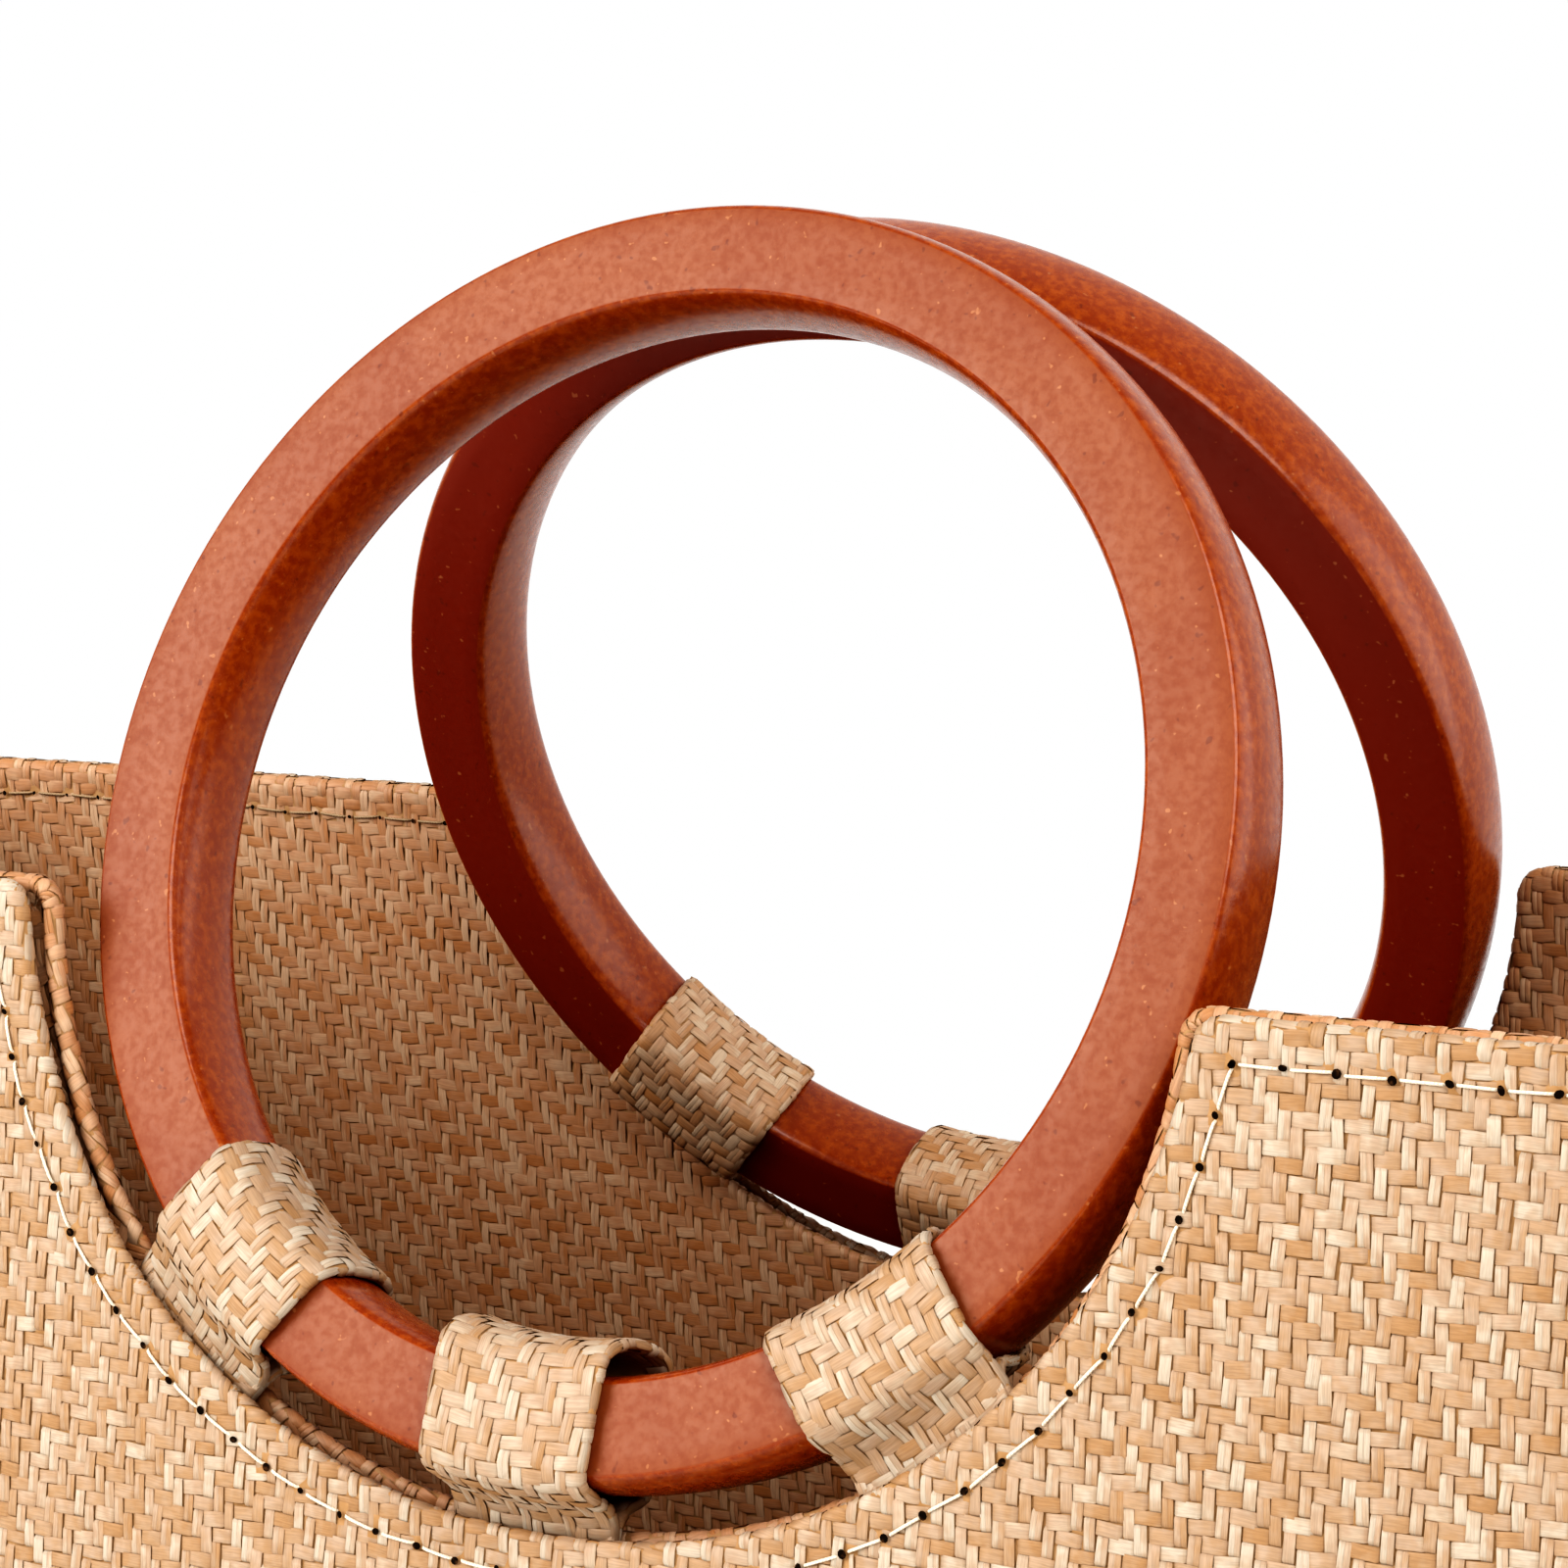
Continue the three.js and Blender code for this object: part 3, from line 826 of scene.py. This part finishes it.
def makeStitchTree():
    # marks come in as needle holes joined by edges; a thread lies along each edge
    tree, given = newTree("Geometry", "topstitch", {
        "Geometry": ("Marks",), "Object": ("Sheet",), "Int": ("Seed",), "Material": ("Thread", "Hole"),
        "Float": ("Thread Radius", "Hole Radius", "Thread Rise", "Hole Rise")}, {"Geometry": ("Sewn",)})
    s, marks, seed, rise = stitch, given["Marks"], given["Seed"], given["Thread Rise"]
    each = geo("InputIndex")
    ends = addNode("GeometryNodeInputMeshEdgeVertices").outputs
    way = addNode("ShaderNodeVectorMath", {0: ends["Position 2"], 1: ends["Position 1"]},
                  operation="SUBTRACT").outputs[0]
    marked = keepValue(marks, "stitchWay", way, "FLOAT_VECTOR", "EDGE")
    middles = geo("MeshToPoints", {"Mesh": marked}, mode="EDGES")
    x, y, z = separate(keptValue("stitchWay", "FLOAT_VECTOR"))
    length = maths("SQRT", maths("ADD", product(x, x), product(y, y)))
    angle = maths("ARCTAN2", y, x)

    line = geo("MeshLine", {
        "Count": s["steps"] + 1, "Start Location": (-0.5, 0, 0), "Offset": (1 / s["steps"], 0, 0)})
    x, y, z = separate(positionOf())
    dip = maths("POWER", product(maths("ABSOLUTE", x), 2.0), s["dipPower"])
    lift = maths("SUBTRACT", rise, product(dip, product(rise, s["dipDepth"])))
    bent = movedTo(line, combine(x, 0.0, lift))
    path = geo("MeshToCurve", {"Mesh": bent})
    profile = geo("CurvePrimitiveCircle", {
        "Resolution": s["threadSides"], "Radius": given["Thread Radius"]})
    around = addNode("GeometryNodeSplineParameter").outputs["Factor"]
    profile = keepValue(profile, "aroundThread", around, "FLOAT")
    tube = geo("CurveToMesh", {
        "Curve": path, "Profile Curve": profile, "Fill Caps": True})
    x, y, z = separate(positionOf())
    threadPlace = combine(x, keptValue("aroundThread", "FLOAT"))
    tube = keepValue(tube, "threadPlace", threadPlace, "FLOAT_VECTOR")
    lean = randomValue(-s["lean"], s["lean"], each, seed)
    threads = geo("InstanceOnPoints", {
        "Points": middles, "Instance": painted(tube, given["Thread"]),
        "Rotation": combine(0.0, 0.0, maths("ADD", angle, lean)),
        "Scale": combine(product(length, s["threadShare"]), 1.0, 1.0)})

    # the dark hole discs are painted shade of the needle holes
    disc = geo("MeshCircle", {
        "Vertices": s["holeCorners"], "Radius": given["Hole Radius"]}, fill_type="TRIANGLE_FAN")
    size = randomValue(*s["holeSizes"], each, maths("ADD", seed, 1))
    narrow = product(size, randomValue(*s["holeShapes"], each, maths("ADD", seed, 2)))
    spin = randomValue(*s["holeTurns"], each, maths("ADD", seed, 3))
    holes = geo("InstanceOnPoints", {
        "Points": movedBy(marks, combine(0.0, 0.0, given["Hole Rise"])),
        "Instance": painted(disc, given["Hole"]), "Rotation": combine(0.0, 0.0, spin),
        "Scale": combine(size, narrow, 1.0)})

    flat = geo("RealizeInstances", {0: joined(threads, holes)})
    x, y, z = separate(positionOf())
    addNode("NodeGroupOutput", {0: layOnSheet(flat, meshOf(given["Sheet"]), x, y, z)})
    return tree


weaveTree = makeWeaveTree()
stitchTree = makeStitchTree()
print("weave and stitch trees built")


def makeMarks(name, lines, mapPlace):
    # needle holes evenly along each line, in cloth coordinates
    vertices, edges = [], []
    for line in lines:
        lengths = lengthsAlong(line)
        count = max(1, round(lengths[-1] / stitch["length"]))
        at = np.linspace(0, lengths[-1], count + 1)
        first = len(vertices)
        vertices += [(np.interp(s, lengths, line[:, 0]), np.interp(s, lengths, line[:, 1]), 0) for s in at]
        edges += [(first + k, first + k + 1) for k in range(count)]
    wobble = np.random.default_rng(len(vertices)).uniform(-1, 1, (len(vertices), 2)) * stitch["wobble"]
    vertices = np.array(vertices) + np.c_[wobble, wobble[:, 0] * 0] + (*mapPlace, 0)
    return addMesh(name, vertices, edges, [])


def sewOn(marks, sheet, seed, thread, holeScale):
    sizes = ("Thread Radius", "Hole Radius", "Thread Rise", "Hole Rise")
    values = {name: stitch[name] * mm for name in sizes}
    values["Hole Radius"] *= holeScale
    values.update({"Sheet": sheet, "Seed": seed, "Thread": threadMaterials[thread], "Hole": holeMaterial})
    grow(marks, stitchTree, values)


# front and back walls, each an outer panel and a facing

wallCloth = {
    "mapPlace": (200, 0), "backPlace": (600, 0), "apron": 3.6,  # mm; the map's place of the bag's middle
    "weaveMargin": 8,  # mm that the weave reaches past the rim
    "liftFrom": 232,  # mm, where a wing begins to stand higher
    "hemFrom": 239, "hemGrowth": 8, "hemSideFrom": 4, "hemSideGrowth": 10,  # mm
    "notchDraw": 0.8,  # power of the wings' lean into the notch
    # points along the rim
    "footSteps": 34, "sideSteps": 48, "outerSteps": 7, "topSteps": 30, "cornerSteps": 8, "notchSteps": 46,
}
layers = {
    # depth of the woven side below the wall's outside, and how far its wings stand into the notch at the top
    "panel": {"outside": True, "depth": 0.0, "sideInset": 0.0, "front": 0.0, "back": 2.5, "hem": 0.3,
              "strips": 2, "straw": "outer", "thread": "cream", "holes": 1.0, "firstLine": 0},
    "facing": {"outside": False, "depth": 5.4, "sideInset": 2.8, "front": 2.6, "back": 3.0, "hem": 1.0,
               "strips": 1, "straw": "inner", "thread": "straw", "holes": 0.7, "firstLine": 1},
}


def wallRim(wall, sideInset, lip, mirror):
    # right half from the foot's middle over the side, the top edge and the notch; the left half mirrors it
    s, c = bagShape, wallCloth
    top, corner, outer = wall["topEdge"], s["cornerRadius"], s["outerCorner"]

    def sideX(z):
        return bodySize("halfWidths", z) - sideInset

    half = [(x, footHeight) for x in np.linspace(0, sideX(footHeight), c["footSteps"])]
    half += [(sideX(z), z) for z in np.linspace(footHeight, top - outer, c["sideSteps"])[1:]]
    topX = float(sideX(top)) - outer
    for t in np.linspace(0, math.pi / 2, c["outerSteps"])[1:]:
        half.append((topX + outer * math.cos(t), top - outer + outer * math.sin(t)))
    cornerDepth = s["ringHeight"] - top + corner
    cornerX = float(notchReach(cornerDepth, wall)) - lip + corner
    half += [(x, top) for x in np.linspace(topX, cornerX, c["topSteps"])[1:]]
    for t in np.linspace(0, math.pi / 2, c["cornerSteps"])[1:]:
        half.append((cornerX - corner * math.sin(t), top - corner + corner * math.cos(t)))
    power = 2 / s["notchExponent"]
    start = math.asin((cornerDepth / wall["notchDepth"]) ** (1 / power))
    for t in np.linspace(start, math.pi / 2, c["notchSteps"])[1:]:
        depth = wall["notchDepth"] * math.sin(t) ** power
        share = (depth - cornerDepth) / (wall["notchDepth"] - cornerDepth)
        drawn = lip * (1 - share ** c["notchDraw"])
        half.append((float(notchReach(depth, wall)) - drawn, s["ringHeight"] - depth))
    half[-1] = (0.0, half[-1][1])
    left = [(-x, z) for x, z in half[1:-1]][::-1]
    rim = np.array(half + left, float)
    rim[:, 1] += wingLift(rim[:, 0] * mirror, rim[:, 1], wall)
    return rim


def wingLift(x, z, wall):
    # the left wing may stand a little higher
    start = wallCloth["liftFrom"]
    share = np.clip((z - start) / (wall["topEdge"] - start), 0, 1)
    return np.where(x < 0, wall["leftLift"] * ease(share), 0)


def hemThickness(rim, layer):
    # extra straw turned in along the top and the wings' part of the notch
    c = wallCloth
    sideX = bodySize("halfWidths", np.minimum(rim[:, 1], bagShape["heights"][-1])) - layer["sideInset"]
    fromSide = sideX - np.abs(rim[:, 0])
    share = np.clip((rim[:, 1] - c["hemFrom"]) / c["hemGrowth"], 0, 1)
    share = share * np.clip((fromSide - c["hemSideFrom"]) / c["hemSideGrowth"], 0, 1)
    return layer["hem"] * ease(share)


def stitchLines(wall, sideInset, mirror):
    # along the notch and along both top edges, meeting at the corners
    s, inset = bagShape, stitch["inset"]
    top = wall["topEdge"] - inset
    power = 2 / s["notchExponent"]
    turn = np.linspace(0.02, math.pi / 2, 80)
    depth = wall["notchDepth"] * np.sin(turn) ** power
    curve = np.stack([notchReach(depth, wall), s["ringHeight"] - depth], 1)
    ahead = np.gradient(curve, axis=0)
    curve = curve + unit(np.stack([-ahead[:, 1], ahead[:, 0]], 1)) * inset
    curve = curve[np.argmin(np.abs(curve[:, 1] - top)):]
    curve[0, 1] = top
    curve[-1, 0] = 0
    left = curve * (-1, 1)
    sideX = float(bodySize("halfWidths", top)) - sideInset - inset
    lines = [np.concatenate([curve, left[::-1][1:]]), np.array([curve[0], (sideX, top)]),
             np.array([left[0], (-sideX, top)])]
    for line in lines:
        line[:, 1] += wingLift(line[:, 0] * mirror, line[:, 1], wall)
    return lines


def makeWall(sideName, layerName, seed):
    wall, layer, c = walls[sideName], layers[layerName], wallCloth
    facesFront = (wall["direction"] < 0) == layer["outside"]
    mirror = 1 if facesFront else -1  # cloth runs to the right as the viewer sees it
    sink = strawSheet["sink"]
    depth = layer["depth"] + sink if layer["outside"] else layer["depth"] - sink

    def surface(u, v):
        x = u * mirror
        return np.stack([x, wall["direction"] * wallDistance(x, v, depth), v], -1)

    rim = wallRim(wall, layer["sideInset"], layer[sideName], mirror)
    name = f"straw_{sideName}_{layerName}"
    sheet, folds = makeSheet(name, rim, surface, bagShape["strawThickness"] - sink, c["mapPlace"],
                             c["backPlace"], hem=hemThickness(rim, layer), apron=c["apron"])
    lines = stitchLines(wall, layer["sideInset"], mirror)[layer["firstLine"]:]
    holes = makeMarks(name + "_holes", lines, c["mapPlace"])
    thread = makeMarks(f"stitching_{sideName}_{layerName}", lines, c["mapPlace"])
    sewOn(thread, sheet, seed + 500, layer["thread"], layer["holes"])
    reach = rim.max(0) + c["weaveMargin"]
    low = (c["mapPlace"][0] - reach[0], -c["weaveMargin"])
    high = (c["mapPlace"][0] + reach[0], reach[1])
    weaveOver(sheet, folds, low, high, seed, holes, layer["straw"], **{"Strip Kind": layer["strips"]})
    for piece in (sheet, thread):
        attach(piece, "bag")
    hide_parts(f"{sideName}_{layerName}")
    sewn = len(thread.data.polygons)
    print(name, "woven:", len(sheet.data.polygons), "faces;", sewn, "faces of stitching")


for number, (sideName, layerName) in enumerate((s, k) for s in walls for k in layers):
    makeWall(sideName, layerName, 11 + number * 100)


# gussets, folded in towards the top, and the base; both are woven on both sides

gusset = {
    "margin": 10.9, "edgeHeight": 280,  # mm inside the wall's half depth, and where the edges end
    "mapPlace": (75, 0), "backPlace": (230, 0), "woven": ((5, 0), (300, 284)),
    "acrossSteps": 16, "upSteps": 48, "shareLimit": 1.05, "seeds": {"left": 511, "right": 611},
}


def makeGusset(sideName, side):
    s, g, sink = bagShape, gusset, strawSheet["sink"]
    low, high = walls["front"]["topEdge"], walls["back"]["topEdge"]

    def halfSpan(z):
        return bodySize("halfDepths", z) - g["margin"]

    def topAt(y):
        return low + (high - low) * (y / halfSpan(s["heights"][-1]) + 1) / 2

    def surface(u, z):
        y = u * side
        share = np.clip(y / halfSpan(z), -g["shareLimit"], g["shareLimit"])
        rise = np.clip((z - s["gussetFoldStart"]) / (topAt(y) - s["gussetFoldStart"]), 0, 1)
        sag = s["gussetFold"] * ease(rise) * (1 - share ** 2) ** 2
        return np.stack([side * (bodySize("halfWidths", z) - sag - sink), y, z], -1)

    edge, across, up = halfSpan(g["edgeHeight"]), g["acrossSteps"], g["upSteps"]
    rim = [(u, footHeight) for u in np.linspace(-1, 1, across) * halfSpan(footHeight)]
    rim += [(halfSpan(z), z) for z in np.linspace(footHeight, topAt(side * edge), up)[1:]]
    rim += [(u, topAt(side * u)) for u in np.linspace(1, -1, across)[1:] * edge]
    rim += [(-halfSpan(z), z) for z in np.linspace(topAt(-side * edge), footHeight, up)[1:-1]]
    name = f"straw_gusset_{sideName}"
    thickness = s["strawThickness"] - 2 * sink
    sheet, folds = makeSheet(name, rim, surface, thickness, g["mapPlace"], g["backPlace"])
    weaveOver(sheet, folds, *g["woven"], g["seeds"][sideName], **{"Strip Kind": 1})
    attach(sheet, "bag")
    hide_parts(f"gusset_{sideName}")
    print(name, "woven:", len(sheet.data.polygons), "faces")


makeGusset("left", -1)
makeGusset("right", 1)

base = {
    "lift": 0.42,  # mm; the strands stay over the ground
    "mapPlace": (200, 80), "backPlace": (200, 250), "woven": ((22, 8), (378, 324)),
    "floatLength": 1.95, "alongSteps": 60, "sideSteps": 26, "seed": 711,
}


def makeBase(b):
    half = bagShape["halfWidths"][0]

    def surface(u, v):
        return np.stack([-u, v, np.full_like(u, b["lift"])], -1)

    front = [(u, -wallDistance(u, 0, 0)) for u in np.linspace(-half, half, b["alongSteps"])]
    depth = front[0][1]
    side = [(half, y) for y in np.linspace(depth, -depth, b["sideSteps"])[1:-1]]
    back = [(u, -y) for u, y in front[::-1]]
    other = [(-half, -y) for u, y in side]
    thickness = bagShape["baseThickness"] - b["lift"] - strawSheet["sink"]
    sheet, folds = makeSheet("straw_base", front + side + back + other, surface, thickness,
                             b["mapPlace"], b["backPlace"])
    weaveOver(sheet, folds, *b["woven"], b["seed"], **{"Strip Kind": 0, "Float Length": b["floatLength"]})
    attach(sheet, "bag")
    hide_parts("base")
    print("straw_base woven:", len(sheet.data.polygons), "faces")


makeBase(base)


# rings

ring = {
    "outerRadius": 75, "width": 12.9, "faceWidth": 9.6, "thickness": 13.3,  # mm
    "segments": 192, "sideSteps": 20, "faceSteps": 4,
}
ringMiddle = ring["outerRadius"] - ring["width"] / 2
ringBulge = (ring["width"] - ring["faceWidth"]) / 2


def ringPlace(wall):
    place = Matrix.Translation((0, wall["direction"] * bagShape["ringOffset"], bagShape["ringHeight"]))
    turn = Matrix.Rotation(math.radians(wall["ringTurn"]), 4, "Z")
    return np.array(place @ turn @ Matrix.Rotation(math.radians(wall["ringLean"]), 4, "X"))


def ringSide(turn, outward):
    # distance from the ring's axis and offset along it, on the rounded side
    reach = ring["faceWidth"] / 2 + ringBulge * math.sin(turn)
    return ringMiddle + outward * reach, -ring["thickness"] / 2 * math.cos(turn)


def makeRing(r, sideName):
    turns = np.linspace(0, math.pi, r["sideSteps"] + 1)
    face = np.linspace(0.5, -0.5, r["faceSteps"] + 1)[1:-1] * r["faceWidth"]
    profile = [ringSide(t, 1) for t in turns]
    profile += [(ringMiddle + f, r["thickness"] / 2) for f in face]
    profile += [ringSide(t, -1) for t in turns[::-1]]
    profile += [(ringMiddle - f, -r["thickness"] / 2) for f in face]
    profile = np.array(profile)
    count, segments = len(profile), r["segments"]
    angles = np.arange(segments) * 2 * math.pi / segments
    points = np.stack([np.outer(np.cos(angles), profile[:, 0]), np.tile(profile[:, 1], (segments, 1)),
                       np.outer(np.sin(angles), profile[:, 0])], -1).reshape(-1, 3)
    place = ringPlace(walls[sideName])
    points = points @ place[:3, :3].T + place[:3, 3]
    faces = []
    for s in range(segments):
        a, b = s * count, (s + 1) % segments * count
        for k in range(count):
            n = (k + 1) % count
            faces.append((a + k, a + n, b + n, b + k))
    obj = addMesh(f"ring_{sideName}", points, [], faces)
    flat = np.abs(np.abs(profile[:, 1]) - r["thickness"] / 2) < 1e-6
    inner = profile[:, 1] * walls[sideName]["direction"] < 0
    for label, value in (("flatFace", flat), ("innerFace", inner)):
        mark = obj.data.attributes.new(label, "FLOAT", "POINT")
        mark.data.foreach_set("value", np.tile(value, segments).astype(np.float32))
    obj.data.materials.append(ringMaterial)
    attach(obj, f"{sideName}_handle")
    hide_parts(f"{sideName}_ring")


for sideName in walls:
    makeRing(ring, sideName)
print("rings turned")


# tabs: straps folded round the ring's section, with both ends sewn in between the wall's layers

tabShape = {
    "width": 22, "standOff": 1.95, "thickness": 1.1,  # mm; the strap's outside over the ring
    "cornerSpread": 0.45, "slot": 77.6, "end": 84, "slotHalf": 0.8, "cornerSize": 2.6,
    "bendFrom": 70.0, "endInset": 0.5, "acrossSteps": 16, "alongSteps": 48, "slotPasses": 12,
    "mapPlace": (20, 5), "backPlace": (100, 5), "fill": 2.2, "apron": 3.0,
    "wovenFrom": (7, 3), "wovenTo": 33, "wovenPast": 7, "fineReach": 100, "floatLength": 2.5,
    # the back tabs take the lighter, warmer straw tint, painted light
    "straw": {"front": "outer", "back": "backTab"},
    # angle round the ring, and how far the fold stands off the ring's inner side
    "front": {"left": (-127.5, 0), "middle": (-90.5, 2.5), "right": (-52.5, 0)},
    "back": {"left": (-130.5, 0), "middle": (-92.5, 0.3), "right": (-54, 0)},
}


def tabPath(slack):
    # distance from the ring's axis and offset along it, from the front leg over the fold to the back leg
    t, away = tabShape, tabShape["standOff"]

    def corner(outward, sign):
        return (ringMiddle + outward * (ring["faceWidth"] / 2 + t["cornerSpread"] * away),
                sign * (ring["thickness"] / 2 + away))

    def onSide(turn, outward):
        rho, axial = ringSide(turn, outward)
        way = Vector((outward * math.sin(turn) / ringBulge, -math.cos(turn) * 2 / ring["thickness"]))
        way.normalize()
        return rho + way[0] * away, axial + way[1] * away

    fold = [corner(-1, -1), *(onSide(math.pi * k, -1) for k in (0.25, 0.5, 0.75)), corner(-1, 1)]
    fold = [(rho - slack, axial) for rho, axial in fold]
    return [onSide(math.pi / 6, 1), corner(1, -1), *fold, corner(1, 1), onSide(math.pi * 5 / 6, 1)]


def roundedPath(points, size):
    points = np.array(points, float)
    path = [points[0]]
    for before, here, after in zip(points, points[1:], points[2:]):
        into, out = before - here, after - here
        nearIn = here + into * min(0.45, size / np.linalg.norm(into))
        nearOut = here + out * min(0.45, size / np.linalg.norm(out))
        for t in np.linspace(0, 1, 7):
            path.append(nearIn * (1 - t) ** 2 + here * 2 * t * (1 - t) + nearOut * t * t)
    return np.array(path + [points[-1]])


def makeTab(sideName, place, seed):
    t, wall = tabShape, walls[sideName]
    angle, slack = t[sideName][place]
    angle = math.radians(angle)
    outwards = np.array((math.cos(angle), 0, math.sin(angle)))
    along = np.array((-outwards[2], 0, outwards[0]))
    placing = ringPlace(wall)
    slotDepth = bagShape["strawThickness"] + bagShape["layerGap"] / 2

    def locate(rho, axial, across):
        flat = np.sqrt(rho * rho - across * across)[:, None] * outwards + across[:, None] * along
        flat[:, 1] = axial
        return flat @ placing[:3, :3].T + placing[:3, 3]

    def slotOffset(rho, across):
        axial = np.zeros_like(rho)
        for k in range(t["slotPasses"]):
            point = locate(rho, axial, across)
            axial += wall["direction"] * wallDistance(point[:, 0], point[:, 2], slotDepth) - point[:, 1]
        return axial

    legs = np.array((t["slot"], t["end"]))
    slotAt = slotOffset(legs, np.zeros(2))
    points = [(legs[1], slotAt[1] - t["slotHalf"]), (legs[0], slotAt[0] - t["slotHalf"]), *tabPath(slack),
              (legs[0], slotAt[0] + t["slotHalf"]), (legs[1], slotAt[1] + t["slotHalf"])]
    path = roundedPath(points, t["cornerSize"])
    ahead = np.gradient(path, axis=0)
    path = path + unit(np.stack([ahead[:, 1], -ahead[:, 0]], 1)) * strawSheet["sink"]
    lengths = lengthsAlong(path)

    def surface(u, v):
        rho = np.interp(v, lengths, path[:, 0])
        axial = np.interp(v, lengths, path[:, 1])
        # the legs follow the wall's curve where they enter it
        share = np.clip((rho - ring["outerRadius"]) / (t["slot"] - ring["outerRadius"]), 0, 1)
        legRho = np.maximum(rho, t["bendFrom"])
        bend = slotOffset(legRho, u) - slotOffset(legRho, u * 0)
        return locate(rho, axial + bend * share, u)

    half, start, end = t["width"] / 2, t["endInset"], lengths[-1] - t["endInset"]
    side = [(half, v) for v in np.linspace(start, end, t["alongSteps"])]
    rim = [(u, start) for u in np.linspace(-half, half, t["acrossSteps"])[:-1]] + side
    rim += [(u, end) for u in np.linspace(half, -half, t["acrossSteps"])[1:-1]]
    rim += [(-half, v) for u, v in side[:0:-1]]
    name = f"straw_{sideName}_tab_{place}"
    sheet, folds = makeSheet(name, rim, surface, t["thickness"], t["mapPlace"], t["backPlace"], t["fill"],
                             apron=t["apron"])
    wovenTo = (t["wovenTo"], lengths[-1] + t["wovenPast"])
    weaveOver(sheet, folds, t["wovenFrom"], wovenTo, seed, straw=t["straw"][sideName],
              **{"Fine Reach": t["fineReach"], "Float Length": t["floatLength"]})
    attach(sheet, "bag")
    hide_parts(f"{sideName}_tab_{place}")
    print("tab", sideName, place, "woven:", len(sheet.data.polygons), "faces")


for number, (sideName, place) in enumerate((s, k) for s in walls for k in tabShape[s]):
    makeTab(sideName, place, 811 + 40 * number)
